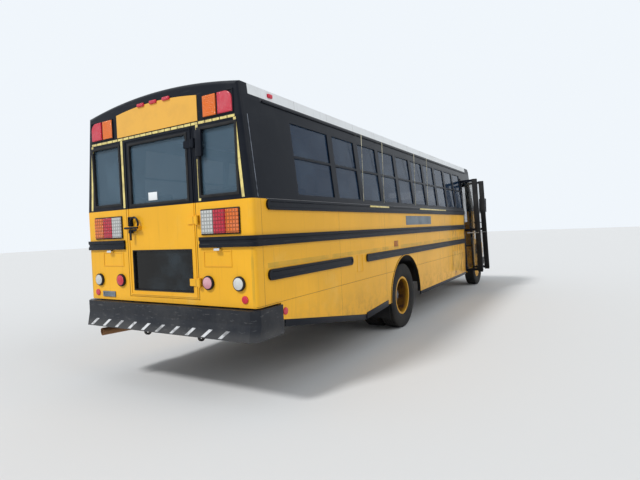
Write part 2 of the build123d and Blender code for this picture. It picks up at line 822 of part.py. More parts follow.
# Axles with their leaf springs and hangers
def spring_pack(centre, half_length, seat_top, side):
    """A leaf spring: an arched pack from hanger to hanger, seen from the side."""
    y_low = side * spring_y - spring_width / 2
    eye_z = rail_low - 45
    with BuildPart() as pack:
        with BuildSketch(Plane.XZ.offset(-(y_low + spring_width))):
            with BuildLine():
                ThreePointArc((centre - half_length, eye_z + 8), (centre, seat_top + 12),
                              (centre + half_length, eye_z + 8))
                Line((centre + half_length, eye_z + 8), (centre + half_length, eye_z - 8))
                ThreePointArc((centre + half_length, eye_z - 8), (centre, seat_top - 60),
                              (centre - half_length, eye_z - 8))
                Line((centre - half_length, eye_z - 8), (centre - half_length, eye_z + 8))
            make_face()
        extrude(amount=spring_width)
        for end in (-1, 1):
            place = centre + end * (half_length + 20)
            with BuildSketch(Plane.XZ.offset(-(y_low + spring_width))):
                with Locations((place, (eye_z + rail_low) / 2 - 12)):
                    Rectangle(70, rail_low - eye_z + 24)
            extrude(amount=spring_width)
    return pack.part


rear_seat_z = 640
front_seat_z = 600
with BuildPart() as leaf_springs:
    for side in (-1, 1):
        add(spring_pack(rear_axle_x, spring_half, rear_seat_z, side))
        add(spring_pack(front_axle_x, front_spring_half, front_seat_z, side))
label_and_write(leaf_springs, "leaf_springs")

# Rear axle: housing with the differential's bowl, and the driveshaft that enters it
axle_tube_radius = 68
gearbox_rear = cowl_x - 760
gearbox_z = 770

axle_end_y = (rear_outer_y + rear_inner_y) / 2 - twin_spacing / 2 - 90 - running_gap
with BuildPart() as rear_axle:
    with BuildSketch(Plane.XZ.offset(-axle_end_y)):
        with Locations((rear_axle_x, axle_z)):
            Circle(axle_tube_radius)
    extrude(amount=2 * axle_end_y)
    with BuildSketch(Plane.YZ.offset(rear_axle_x - 190)):
        with Locations((0, axle_z)):
            Circle(150)
    with BuildSketch(Plane.YZ.offset(rear_axle_x + 170)):
        with Locations((0, axle_z)):
            Circle(120)
    loft()
    for side in (-1, 1):
        with BuildSketch(Plane.XY.offset(axle_z)):
            with Locations((rear_axle_x, side * spring_y)):
                Rectangle(150, spring_width + 10)
        extrude(amount=rear_seat_z - 60 - axle_z)
label_and_write(rear_axle, "rear_axle")

with BuildPart() as driveshaft:
    shaft_line = Plane(
        origin=(rear_axle_x + 170, 0, axle_z),
        x_dir=(0, 1, 0),
        z_dir=(along(gearbox_rear) - rear_axle_x - 170, 0, gearbox_z - axle_z),
    )
    run = ((along(gearbox_rear) - rear_axle_x - 170) ** 2 + (gearbox_z - axle_z) ** 2) ** 0.5
    with BuildSketch(shaft_line):
        Circle(45)
    extrude(amount=run)
    add(block(rear_overhang + 170 + running_gap, gearbox_rear, -200, 200, 200, 1000),
        mode=Mode.INTERSECT)
label_and_write(driveshaft, "driveshaft")

# Front axle beam with kingpins, knuckles with stub axles, and the tie rod
knuckle_height = 190
beam_end_radius = 38
beam_end_half = 57
stub_radius = 38
arm_back = 190
arm_in = 60
# The front hub's inner face, outward from the wheel's middle plane
front_hub_inner = 88

with BuildPart() as front_axle:
    add(block(rear_overhang + wheelbase - 45, rear_overhang + wheelbase + 45, -kingpin_y + 120,
              kingpin_y - 120, 440, 540))
    for side in (-1, 1):
        edges = sorted((side * (kingpin_y - 121), side * kingpin_y))
        add(block(rear_overhang + wheelbase - beam_end_radius, rear_overhang + wheelbase + beam_end_radius,
                  edges[0], edges[1], axle_z - beam_end_half, axle_z + beam_end_half))
        with BuildSketch(Plane.XY.offset(axle_z - beam_end_half)):
            with Locations((front_axle_x, side * kingpin_y)):
                Circle(beam_end_radius)
        extrude(amount=2 * beam_end_half)
        with BuildSketch(Plane.XY.offset(axle_z - 95)):
            with Locations((front_axle_x, side * kingpin_y)):
                Circle(kingpin_radius)
        extrude(amount=knuckle_height)
label_and_write(front_axle, "front_axle")

for side, name in ((1, "knuckle_left"), (-1, "knuckle_right")):
    with BuildPart() as knuckle:
        for low, high in ((axle_z + 62, axle_z + 95), (axle_z - 95, axle_z - 62)):
            edges = sorted((side * (kingpin_y - 40), side * (kingpin_y + 75)))
            add(block(rear_overhang + wheelbase - 40, rear_overhang + wheelbase + 40, edges[0],
                      edges[1], low, high))
        edges = sorted((side * (kingpin_y + 45), side * (kingpin_y + 75)))
        add(block(rear_overhang + wheelbase - 40, rear_overhang + wheelbase + 40, edges[0], edges[1],
                  axle_z - 95, axle_z + 95))
        with BuildSketch(Plane.XZ.offset(-side * (kingpin_y + 75))):
            with Locations((front_axle_x, axle_z)):
                Circle(stub_radius)
        extrude(amount=-side * (front_wheel_y + front_hub_inner - kingpin_y - 75 - running_gap))
        with BuildSketch(Plane.XY.offset(axle_z - 100)):
            with Locations((front_axle_x, side * kingpin_y)):
                Circle(kingpin_radius + 0.05)
        extrude(amount=200, mode=Mode.SUBTRACT)
        arm = sorted((side * (kingpin_y - 40), side * (kingpin_y - 80)))
        add(block(rear_overhang + wheelbase - arm_back - 30, rear_overhang + wheelbase - 39,
                  arm[0], arm[1], axle_z - 95, axle_z - 70))
        joint = sorted((side * (kingpin_y - 41), side * (kingpin_y + 10)))
        add(block(rear_overhang + wheelbase - 80, rear_overhang + wheelbase - 39, joint[0], joint[1],
                  axle_z - 95, axle_z - 70))
    label_and_write(knuckle, name)

tie_x = front_axle_x - arm_back
tie_y = kingpin_y - arm_in
with BuildPart() as tie_rod:
    with BuildSketch(Plane.XZ.offset(-tie_y)):
        with Locations((tie_x, axle_z - 125)):
            Circle(16)
    extrude(amount=2 * tie_y)
    for side in (-1, 1):
        with BuildSketch(Plane.XY.offset(axle_z - 150)):
            with Locations((tie_x, side * tie_y)):
                Circle(24)
        extrude(amount=55 - running_gap)
label_and_write(tie_rod, "tie_rod")


# Wheels. Tyre and rim are turned about the axle; a table gives each wheel's place.
def wheel_plane(x, y):
    """Sketch plane through the axle whose local X is outward along +Y and local Y is up."""
    return Plane(origin=(x, y, axle_z), x_dir=(0, 1, 0), z_dir=(1, 0, 0))


def tyre_solid(x, y):
    """A tyre as a turned section: tread, shoulders, side walls and bore."""
    half = tyre_width / 2
    with BuildPart() as tyre:
        with BuildSketch(wheel_plane(x, y)):
            with BuildLine():
                Polyline(
                    (-rim_width / 2 + 10, bead_radius),
                    (-half, 395),
                    (-tread_width / 2, tyre_radius),
                    (tread_width / 2, tyre_radius),
                    (half, 395),
                    (rim_width / 2 - 10, bead_radius),
                    close=True,
                )
            make_face()
        revolve(axis=Axis((x, y, axle_z), (0, 1, 0)))
    return tyre.part


def turned(x, y, side, points):
    """A solid turned about the wheel's axle from (outward, radius) points."""
    with BuildPart() as solid:
        with BuildSketch(wheel_plane(x, y)):
            with BuildLine():
                Polyline(*[(side * out, radius) for out, radius in points], close=True)
            make_face()
        revolve(axis=Axis((x, y, axle_z), (0, 1, 0)))
    return solid.part


rim_half = rim_width / 2
disc_out = 128
disc_radius = 190
front_rim_shape = [
    (-rim_half, bead_radius - rim_wall), (-rim_half, bead_radius), (rim_half - 10, bead_radius),
    (rim_half, rim_lip_radius), (rim_half, bead_radius - rim_wall),
    (disc_out, disc_radius), (disc_out, hub_radius), (disc_out + 60, hub_radius - 20),
    (disc_out + 60, 0), (front_hub_inner, 0), (front_hub_inner, 60), (disc_out - 12, 60),
    (disc_out - 12, disc_radius - 8), (rim_half - 20, bead_radius - rim_wall),
]
for side, hand in ((1, "left"), (-1, "right")):
    with BuildPart() as front_tyre:
        add(tyre_solid(front_axle_x, side * front_wheel_y))
    label_and_write(front_tyre, f"front_tyre_{hand}")
    with BuildPart() as front_rim:
        add(turned(front_axle_x, side * front_wheel_y, side, front_rim_shape))
    label_and_write(front_rim, f"front_rim_{hand}")
    with BuildPart() as rear_tyres:
        add(tyre_solid(rear_axle_x, side * rear_outer_y))
        add(tyre_solid(rear_axle_x, side * rear_inner_y))
    label_and_write(rear_tyres, f"rear_tyres_{hand}")
    half_gap = twin_spacing / 2
    web_half = 22
    hub_inner = half_gap + 90
    hub_outer = 150
    rear_rim_shape = [
        (half_gap + rim_half, bead_radius - rim_wall), (half_gap + rim_half, rim_lip_radius),
        (half_gap + rim_half - 10, bead_radius), (half_gap - rim_half, bead_radius),
        (8, 226), (-8, 226), (-half_gap + rim_half, bead_radius),
        (-half_gap - rim_half, bead_radius), (-half_gap - rim_half, bead_radius - rim_wall),
        (-half_gap + rim_half - 14, bead_radius - rim_wall), (-web_half, 212), (-web_half, 100),
        (-hub_inner, 100), (-hub_inner, 0), (hub_outer, 0), (hub_outer, hub_radius - 15),
        (web_half, hub_radius), (web_half, 212), (half_gap - rim_half + 14, bead_radius - rim_wall),
    ]
    with BuildPart() as rear_rims:
        add(turned(rear_axle_x, side * (rear_outer_y + rear_inner_y) / 2, side, rear_rim_shape))
    label_and_write(rear_rims, f"rear_rims_{hand}")

# Engine and gearbox, one plain heavy block between the rails
engine_rear = cowl_x + 80
with BuildPart() as engine:
    add(block(engine_rear, engine_rear + 930, -325, 325, 610, 1250))
    add(block(gearbox_rear, engine_rear, -230, 230, 640, 900))
    # Feet on the rails' lower flanges: (start, half width they stand out from)
    for start, half in ((gearbox_rear + 120, 230), (engine_rear + 130, 325), (engine_rear + 680, 325)):
        for side in (-1, 1):
            foot = sorted((side * (half - 5), side * (rail_outer_y - rail_web - 5)))
            add(block(start, start + 110, foot[0], foot[1], rail_low + rail_web, rail_low + rail_web + 30))
label_and_write(engine, "engine")

# Exhaust: silencer under the left side and a tail pipe that arches over the rear axle
pipe_radius = 42
pipe_y = 515
pipe_front = cowl_x - 890
silencer_start = rear_overhang + 1540
tail_end = -40
with BuildPart() as exhaust:
    with BuildLine():
        FilletPolyline(
            (along(pipe_front), 540, 780), (along(pipe_front - 1600), 680, 700),
            (along(silencer_start - 100), 680, 700), (along(rear_overhang + 840), pipe_y, 790),
            (along(rear_overhang - 860), pipe_y, 790), (along(rear_overhang - 1660), 680, 640),
            (along(900), 760, 570), (along(tail_end), 1000, 562),
            radius=150,
        )
    with BuildSketch(Plane(origin=(along(pipe_front), 540, 780), z_dir=(-1600, 140, -80))):
        Circle(pipe_radius)
    sweep()
    with BuildSketch(Plane.YZ.offset(along(silencer_start))):
        with Locations((680, 700)):
            Circle(130)
    extrude(amount=pipe_front - 1700 - silencer_start)
    # The tail pipe's open end
    with BuildSketch(Plane(origin=(along(tail_end), 1000, 562), z_dir=(900 - tail_end, -240, 8))):
        Circle(pipe_radius - 4)
    extrude(amount=150, mode=Mode.SUBTRACT)
    # Hangers up to the floor: (start, middle, height of the pipe there)
    for start, middle, height in ((900, 760, 570), (silencer_start + 400, 680, 800),
                                  (pipe_front - 200, 557, 770)):
        add(block(start, start + 20, middle - 18, middle + 18, height, floor_under))
label_and_write(exhaust, "exhaust")

# Fuel tank outside the right rail, with its two straps and their brackets
tank_start = rear_overhang + 1540
tank_end = cowl_x - 2190
with BuildPart() as fuel_tank:
    with BuildSketch(Plane.YZ.offset(along(tank_start))):
        with Locations((-810, 735)):
            RectangleRounded(640, 400, 70)
    extrude(amount=tank_end - tank_start)
    for place in (tank_start + 250, tank_end - 350):
        with BuildSketch(Plane.YZ.offset(along(place))):
            with Locations((-810, 735)):
                RectangleRounded(650, 410, 75)
        extrude(amount=70)
        add(block(place, place + 70, -520, -rail_outer_y, 760, 930))
label_and_write(fuel_tank, "fuel_tank")

# Seats: (start of the row) and both benches, frames and cushions apart
seat_rows = 10
seat_start = 380
seat_outer = inner_half - 45
seat_inner = 190
cushion_low = floor_top + 370

with BuildPart() as seat_frames:
    for row in range(seat_rows):
        x = seat_start + row * bay_pitch
        for side in (-1, 1):
            edges = sorted((side * seat_inner, side * seat_outer))
            add(block(x + 40, x + 470, edges[0], edges[1], cushion_low - 30, cushion_low))
            leg = sorted((side * (seat_inner + 30), side * (seat_inner + 60)))
            add(block(x + 90, x + 130, leg[0], leg[1], floor_top, cushion_low - 30))
            add(block(x + 400, x + 440, leg[0], leg[1], floor_top, cushion_low - 30))
            rest = sorted((side * seat_outer, side * inner_half))
            add(block(x + 90, x + 440, rest[0], rest[1], cushion_low - 60, cushion_low))
label_and_write(seat_frames, "seat_frames")

with BuildPart() as seat_cushions:
    for row in range(seat_rows):
        x = seat_start + row * bay_pitch
        for side in (-1, 1):
            edges = sorted((side * seat_inner, side * seat_outer))
            add(
                side_profile(
                    [
                        (x + 20, cushion_low), (x + 500, cushion_low), (x + 520, cushion_low + 60),
                        (x + 500, cushion_low + 110), (x + 120, cushion_low + 90),
                        (x + 30, cushion_low + 640), (x - 10, cushion_low + 670),
                        (x - 50, cushion_low + 640), (x - 20, cushion_low + 60),
                    ],
                    edges[0],
                    edges[1],
                )
            )
label_and_write(seat_cushions, "seat_cushions")

# Driver's place: dashboard, seat and steering wheel
driver_y = 700
driver_seat_at = cowl_x - 1230
wheel_tilt = 32
column_length = 190
column_top = Plane(
    origin=(along(cowl_x - 500), driver_y, 1560),
    z_dir=(-cos(radians(wheel_tilt)), 0, sin(radians(wheel_tilt))),
)
with BuildPart() as dashboard:
    add(
        side_profile(
            [(cowl_x - 310, 1240), (cowl_x - wall, 1160), (cowl_x - wall, 1560), (cowl_x - 150, 1600),
             (cowl_x - 290, 1560)],
            -480,
            inner_half,
        )
    )
    with BuildSketch(column_top.offset(-column_length - running_gap)):
        Circle(32)
    extrude(amount=-70)
label_and_write(dashboard, "dashboard")

with BuildPart() as driver_seat:
    add(block(driver_seat_at, driver_seat_at + 400, driver_y - 200, driver_y + 200, floor_top,
              floor_top + 330))
    add(
        side_profile(
            [(driver_seat_at - 40, 1390), (driver_seat_at + 450, 1390), (driver_seat_at + 470, 1500),
             (driver_seat_at + 80, 1490), (driver_seat_at + 10, 2080), (driver_seat_at - 100, 2080),
             (driver_seat_at - 60, 1420)],
            driver_y - 240,
            driver_y + 240,
        )
    )
label_and_write(driver_seat, "driver_seat")

with BuildPart() as steering_wheel:
    with BuildSketch(column_top):
        Circle(225)
        Circle(197, mode=Mode.SUBTRACT)
        Rectangle(410, 40)
        Circle(55)
    extrude(amount=26)
    with BuildSketch(column_top):
        Circle(20)
    extrude(amount=-column_length)
label_and_write(steering_wheel, "steering_wheel")


# Hood with its fenders, tilting forward: a shell trimmed behind and below
front_axle_at = rear_overhang + wheelbase
fender_low = 600


def hood_block(inset):
    """The outside of the hood, or with an inset its inside, closed all round."""
    with BuildPart() as shape:
        with BuildSketch(Plane.XZ.offset(-1000)):
            with BuildLine():
                Polyline(
                    (along(cowl_x - 100), 500), (along(hood_front_at), 500),
                    (along(hood_front_at), 1130), (along(hood_front_at - 40), 1230),
                    (along(hood_front_at - 160), 1290), (along(cowl_x - 100), 1555),
                    close=True,
                )
            make_face()
            if inset:
                offset(amount=-inset, mode=Mode.REPLACE)
        extrude(amount=2000)
        with BuildSketch(Plane.XY.offset(400)):
            with BuildLine():
                Polyline(
                    (along(cowl_x - 100), -930), (along(hood_front_at - 140), -640),
                    (along(hood_front_at), -500), (along(hood_front_at), 500),
                    (along(hood_front_at - 140), 640), (along(cowl_x - 100), 930),
                    close=True,
                )
            make_face()
            if inset:
                offset(amount=-inset, mode=Mode.REPLACE)
        extrude(amount=1400, mode=Mode.INTERSECT)
        with BuildPart(mode=Mode.PRIVATE) as fenders:
            with BuildSketch(Plane.XZ.offset(-1166)):
                with BuildLine():
                    Polyline(
                        (along(cowl_x - 100), 500), (along(front_axle_at + 800), 500),
                        (along(front_axle_at + 830), 960), (along(front_axle_at + 640), 1060),
                        (along(front_axle_at + 250), 1190), (along(front_axle_at - 250), 1190),
                        (along(cowl_x - 100), 1110),
                        close=True,
                    )
                make_face()
                if inset:
                    offset(amount=-inset, mode=Mode.REPLACE)
            extrude(amount=2332)
            with BuildSketch(Plane.XY.offset(400)):
                with BuildLine():
                    Polyline(
                        (along(cowl_x - 100), -1166), (along(front_axle_at + 640), -1166),
                        (along(front_axle_at + 790), -1060), (along(front_axle_at + 850), -500),
                        (along(front_axle_at + 850), 500), (along(front_axle_at + 790), 1060),
                        (along(front_axle_at + 640), 1166), (along(cowl_x - 100), 1166),
                        close=True,
                    )
                make_face()
                if inset:
                    offset(amount=-inset, mode=Mode.REPLACE)
            extrude(amount=1400, mode=Mode.INTERSECT)
        add(fenders.part)
    return shape.part


grille_half = 400
grille_low = 800
grille_high = 1130
lamp_z = 850
# Lamps in each fender: (half width of the place, radius)
hood_lamps = [(800, 95), (1000, 42)]
hood_rear = cowl_x + hood_gap

with BuildPart() as hood:
    add(hood_block(0))
    add(hood_block(hood_wall), mode=Mode.SUBTRACT)
    add(block(roof_front, hood_rear, -1500, 1500, 300, 2000), mode=Mode.SUBTRACT)
    add(block(roof_front, screen_foot_x + hood_gap, -1500, 1500, 1372, 2000), mode=Mode.SUBTRACT)
    add(block(roof_front, overall_length, -1500, 1500, 300, fender_low), mode=Mode.SUBTRACT)
    add(block(front_axle_at + front_arch_radius, overall_length, -1500, 1500, 300, hood_low),
        mode=Mode.SUBTRACT)
    for side in (-1, 1):
        with BuildSketch(Plane.XZ.offset(-side * 1300)):
            with Locations((front_axle_x, axle_z)):
                Circle(front_arch_radius)
        extrude(amount=side * 800, mode=Mode.SUBTRACT)
    add(block(hood_front_at - 60, 11000, -grille_half, grille_half, grille_low, grille_high),
        mode=Mode.SUBTRACT)
    for side in (-1, 1):
        for place_y, radius in hood_lamps:
            with BuildSketch(Plane.YZ.offset(front_axle_x + 700)):
                with Locations((side * place_y, lamp_z)):
                    Circle(radius)
            extrude(amount=300, mode=Mode.SUBTRACT)
        lug = sorted((side * hinge_y, side * (hinge_y + 30)))
        add(block(hood_pivot_at - 15, hood_pivot_at + 20, lug[0], lug[1], hood_pivot_z, hood_low + 40))
        with BuildSketch(Plane.XZ.offset(-lug[1])):
            with Locations((along(hood_pivot_at), hood_pivot_z)):
                Circle(15)
        extrude(amount=30)
        with BuildSketch(Plane.XZ.offset(-lug[1])):
            with Locations((along(hood_pivot_at), hood_pivot_z)):
                Circle(hood_pin_radius + bearing_gap)
        extrude(amount=30, mode=Mode.SUBTRACT)
label_and_write(hood, "hood")

# Headlamps and turn lamps in the fenders
with BuildPart() as headlamps:
    for side in (-1, 1):
        for place_y, radius in hood_lamps:
            with BuildSketch(Plane.YZ.offset(front_axle_x + 745)):
                with Locations((side * place_y, lamp_z)):
                    Circle(radius)
            extrude(amount=105 if radius > 60 else 75)
label_and_write(headlamps, "headlamps")

# Grille: a frame with level bars
grille_bars = 7
with BuildPart() as grille:
    add(block(hood_front_at - hood_wall, hood_front_at + 4, -grille_half, grille_half, grille_low,
              grille_high))
    add(block(hood_front_at - 60, hood_front_at + 60, -grille_half + 22, grille_half - 22,
              grille_low + 22, grille_high - 22), mode=Mode.SUBTRACT)
    clear = grille_high - grille_low - 44
    for i in range(grille_bars):
        height = grille_low + 22 + (i + 1) * clear / (grille_bars + 1)
        add(block(hood_front_at - hood_wall, hood_front_at, -grille_half + 22, grille_half - 22,
                  height - 8, height + 8))
label_and_write(grille, "grille")

# Entrance door: two leaves that stand open, square to the side
leaf_reach = (door_width - leaf_meeting_gap) / 2 - leaf_pivot_inset
leaf_back = leaf_pivot_inset - door_gap
# Lights of a leaf: (low, high) along the leaf
leaf_lights = [(55, 930), (985, leaf_height - 55)]


leaf_middle = (leaf_reach - leaf_back) / 2
with BuildSketch() as leaf_panes:
    for low, high in leaf_lights:
        with Locations((leaf_middle, (low + high) / 2)):
            Rectangle(leaf_reach + leaf_back - 2 * leaf_bar, high - low)

for name, place, turn in zip(("rear", "front"), pivot_places, (1, -1)):
    # An open leaf's plane: local X is outward from the pivot line, local Y is up along it
    leaf_face = Plane(
        origin=(along(place), pivot_foot_y, door_low),
        x_dir=(0, -cos(door_lean), sin(door_lean)),
        z_dir=(-1, 0, 0),
    )
    with BuildPart() as door_leaf:
        with BuildSketch(leaf_face):
            with Locations((leaf_middle, leaf_height / 2)):
                Rectangle(leaf_reach + leaf_back, leaf_height)
            add(leaf_panes.sketch_local, mode=Mode.SUBTRACT)
        extrude(amount=-turn * leaf_thickness)
        add(door_pin(place, leaf_pin_radius, 26))
    label_and_write(door_leaf, f"door_leaf_{name}")
    with BuildPart() as door_glass:
        with BuildSketch(leaf_face.offset(-turn * pane_set_back)):
            add(leaf_panes.sketch_local)
        extrude(amount=-turn * glass_thickness)
    label_and_write(door_glass, f"door_glass_{name}")

# Outside mirrors: each head on a post that two bars carry from the body's side
mirror_at = cowl_x + 115
mirror_y = (1345, 1500)
mirror_z = (1885, 2220)
mirror_depth = 34
post_radius = 13
with BuildPart() as mirrors:
    for side in (-1, 1):
        head = sorted(side * y for y in mirror_y)
        add(block(mirror_at, mirror_at + mirror_depth, head[0], head[1], mirror_z[0], mirror_z[1]))
        post_y = side * sum(mirror_y) / 2
        with BuildSketch(Plane.XY.offset(mirror_z[0] - 270)):
            with Locations((along(mirror_at + mirror_depth + post_radius - 3), post_y)):
                Circle(post_radius)
        extrude(amount=mirror_z[1] - mirror_z[0] + 250)
        for height in (mirror_z[0] - 270, mirror_z[0] - 30):
            with BuildSketch(Plane.XY.offset(height)):
                with BuildLine():
                    Polyline(
                        (along(cowl_x - 60), side * half_width),
                        (along(cowl_x + 10), side * half_width),
                        (along(mirror_at + mirror_depth + 15), post_y - side * 6),
                        (along(mirror_at + mirror_depth + 5), post_y + side * 12),
                        (along(cowl_x - 60), side * (half_width + 22)),
                        close=True,
                    )
                make_face()
            extrude(amount=20)
label_and_write(mirrors, "mirrors")

# Lamp lenses on the two ends. Box lenses: (which end, half width from, to, height from, to)
lens_depth = 14
warning_low = 2705
warning_high = 2900
box_lenses = {
    "red": [
        ("rear", 865, 1040, warning_low, warning_high), ("front", 865, 1040, warning_low, warning_high),
        ("rear", 757, 903, 1615, 1835), ("rear", 155, 225, 2950, 2980),
        ("rear", -35, 35, 2950, 2980),
    ],
    "amber": [
        ("rear", 680, 840, warning_low, warning_high), ("front", 680, 840, warning_low, warning_high),
        ("rear", 910, 1060, 1615, 1835),
    ],
    "clear": [("rear", 600, 750, 1615, 1835)],
}
# Round lenses on the rear wall: (half width of the place, height, radius)
round_lenses = {"red": [(650, 1150, 62)], "amber": [], "clear": [(1030, 1150, 62)]}
cap_face = screen_head_x + cap_front_reach

for colour, boxes in box_lenses.items():
    with BuildPart() as lenses:
        for side in (-1, 1):
            for end, inner, outer, low, high in boxes:
                edges = sorted((side * inner, side * outer))
                start = -lens_depth if end == "rear" else cap_face
                add(block(start, start + lens_depth, edges[0], edges[1], low, high))
            for place, height, radius in round_lenses[colour]:
                with BuildSketch(Plane.YZ.offset(along(0))):
                    with Locations((side * place, height)):
                        Circle(radius)
                extrude(amount=-2 * lens_depth)
    label_and_write(lenses, f"lamps_{colour}")

# Mud flaps behind the rear wheels, on the cross bearer there
flap_start = bearer_start + 4 * bay_pitch - 8
with BuildPart() as mud_flaps:
    for side in (-1, 1):
        edges = sorted((side * 600, side * (inner_half - 10)))
        add(block(flap_start, flap_start + 8, edges[0], edges[1], 240, floor_under))
label_and_write(mud_flaps, "mud_flaps")
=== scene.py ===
from contextlib import contextmanager
from math import cos, hypot, pi, radians, sin, tau

import bmesh
import bpy
from mathutils import Matrix, Vector


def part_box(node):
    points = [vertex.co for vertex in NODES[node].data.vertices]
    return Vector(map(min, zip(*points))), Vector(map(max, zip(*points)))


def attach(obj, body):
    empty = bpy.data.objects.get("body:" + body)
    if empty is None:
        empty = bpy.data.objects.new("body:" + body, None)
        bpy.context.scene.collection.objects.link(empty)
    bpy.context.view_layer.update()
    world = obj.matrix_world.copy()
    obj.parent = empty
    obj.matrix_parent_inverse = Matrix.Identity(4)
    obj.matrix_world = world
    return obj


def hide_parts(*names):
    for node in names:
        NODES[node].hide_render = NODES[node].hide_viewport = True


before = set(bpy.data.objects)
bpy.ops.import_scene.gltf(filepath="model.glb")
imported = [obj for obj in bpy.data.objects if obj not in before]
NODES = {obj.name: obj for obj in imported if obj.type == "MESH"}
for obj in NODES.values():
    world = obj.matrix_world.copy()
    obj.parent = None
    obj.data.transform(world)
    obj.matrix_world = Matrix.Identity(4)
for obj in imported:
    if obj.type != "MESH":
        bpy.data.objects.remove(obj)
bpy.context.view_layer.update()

bl_info = {
    "name": "School bus finishes and fittings",
    "version": (1, 0, 0),
    "blender": (4, 5, 0),
    "location": "3D View > Sidebar > Bus",
    "description": "Adds lamps, tyres, seats, rails and painted finishes round the packed bus",
    "category": "Object",
}


def at(distance):
    """X of a place this far ahead of the rear wall's outer face."""
    return REAR_FACE + distance


def wall_y(height):
    """Half width of the body's outer face at a height."""
    return HALF_WIDTH - WALL_LEAN * max(0.0, height - BELT)


def middle_x(name):
    """X of the middle of a CAD node."""
    return sum(corner.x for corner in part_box(name)) / 2


MIRROR = Matrix.Scale(-1, 4, (0, 1, 0))
HERE = Matrix.Identity(4)

# X of the rear wall, the front cap and the axles, and half the body's width
REAR_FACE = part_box("side_wall_right")[0].x - 0.06
FRONT_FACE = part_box("end_caps")[1].x
REAR_AXLE = middle_x("rear_tyres_right")
FRONT_AXLE = middle_x("front_tyre_right")
HALF_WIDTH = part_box("rear_wall")[1].y

# Places ahead of the rear wall
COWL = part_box("cowl")[0].x - REAR_FACE + 0.045
REAR_LAP = 0.117
FIRST_PILLAR = 1.58
BAY = 0.686
PANEL = 2 * BAY
DOOR_START = 7.77

# Heights, and how far the walls and the door lean in for each metre up
AXLE_HEIGHT = 0.505
ARCH_HEIGHT = 0.495
BELT = 1.915
ROOF_EDGE = 2.876
WALL_LEAN = 0.11
DOOR_SLOPE = 0.037


def a_length(name, description, default):
    """A property in metres."""
    return bpy.props.FloatProperty(
        name=name, description=description, default=default, unit="LENGTH")


def a_count(name, description, default):
    """A property for a number of pieces."""
    return bpy.props.IntProperty(name=name, description=description, default=default, min=1)


def a_colour(name, description, *default):
    """A property for a colour, from its red, green and blue."""
    return bpy.props.FloatVectorProperty(
        name=name, description=description, default=(*default, 1), subtype="COLOR", size=4,
        min=0, max=1)


class BusSizes(bpy.types.PropertyGroup):
    """Sizes of the added pieces."""

    rail_proud: a_length("Rail depth", "How far a rub rail stands out from the wall", 0.022)
    rivet_pitch: a_length("Rivet pitch", "Distance between rivets in a row", 0.075)
    rivet_radius: a_length("Rivet radius", "Radius of a rivet's head", 0.005)
    tread_depth: a_length("Tread depth", "Depth of the tyres' grooves", 0.013)
    tread_blocks: a_count("Tread blocks", "Shoulder blocks round one tyre", 48)
    nut_circle: a_length("Nut circle", "Radius of the circle the wheel nuts lie on", 0.143)
    nut_count: a_count("Nuts", "Nuts on a wheel", 10)
    bench_rows: a_count("Rows", "Rows of benches", 10)
    bench_pitch: a_length("Bench pitch", "Distance from one row to the next", BAY)
    pad_swell: a_length("Pad swell", "The most that a point of a pad may move out", 0.014)
    floor_size: a_length("Floor size", "Side of the stage's floor", 160.0)


class BusColours(bpy.types.PropertyGroup):
    """Colours of the finishes."""

    yellow: a_colour("Body yellow", "The body's main paint", 0.87, 0.44, 0.022)
    black: a_colour("Trim black", "Rails, caps and window band", 0.0032, 0.0052, 0.0105)
    white: a_colour("Roof white", "Paint of the roof", 0.80, 0.82, 0.83)
    red: a_colour("Lens red", "Red lenses", 0.56, 0.012, 0.040)
    amber: a_colour("Lens amber", "Amber lenses", 0.78, 0.165, 0.012)
    vinyl: a_colour("Bench vinyl", "Cover of the benches", 0.075, 0.105, 0.09)
    rust: a_colour("Rust", "Rust spots and the exhaust", 0.22, 0.068, 0.022)
    dirt: a_colour("Dirt", "Road dirt on the lower body", 0.20, 0.135, 0.075)
    floor: a_colour("Floor", "The stage's floor", 0.66, 0.66, 0.655)


def sizes():
    return bpy.context.scene.bus_sizes


def tint(name):
    """One of the panel's colours."""
    return tuple(getattr(bpy.context.scene.bus_colours, name))


def shade(colour, factor):
    """A colour made darker or lighter."""
    return tuple(min(1.0, part * factor) for part in colour[:3]) + (1.0,)


# Shader maths


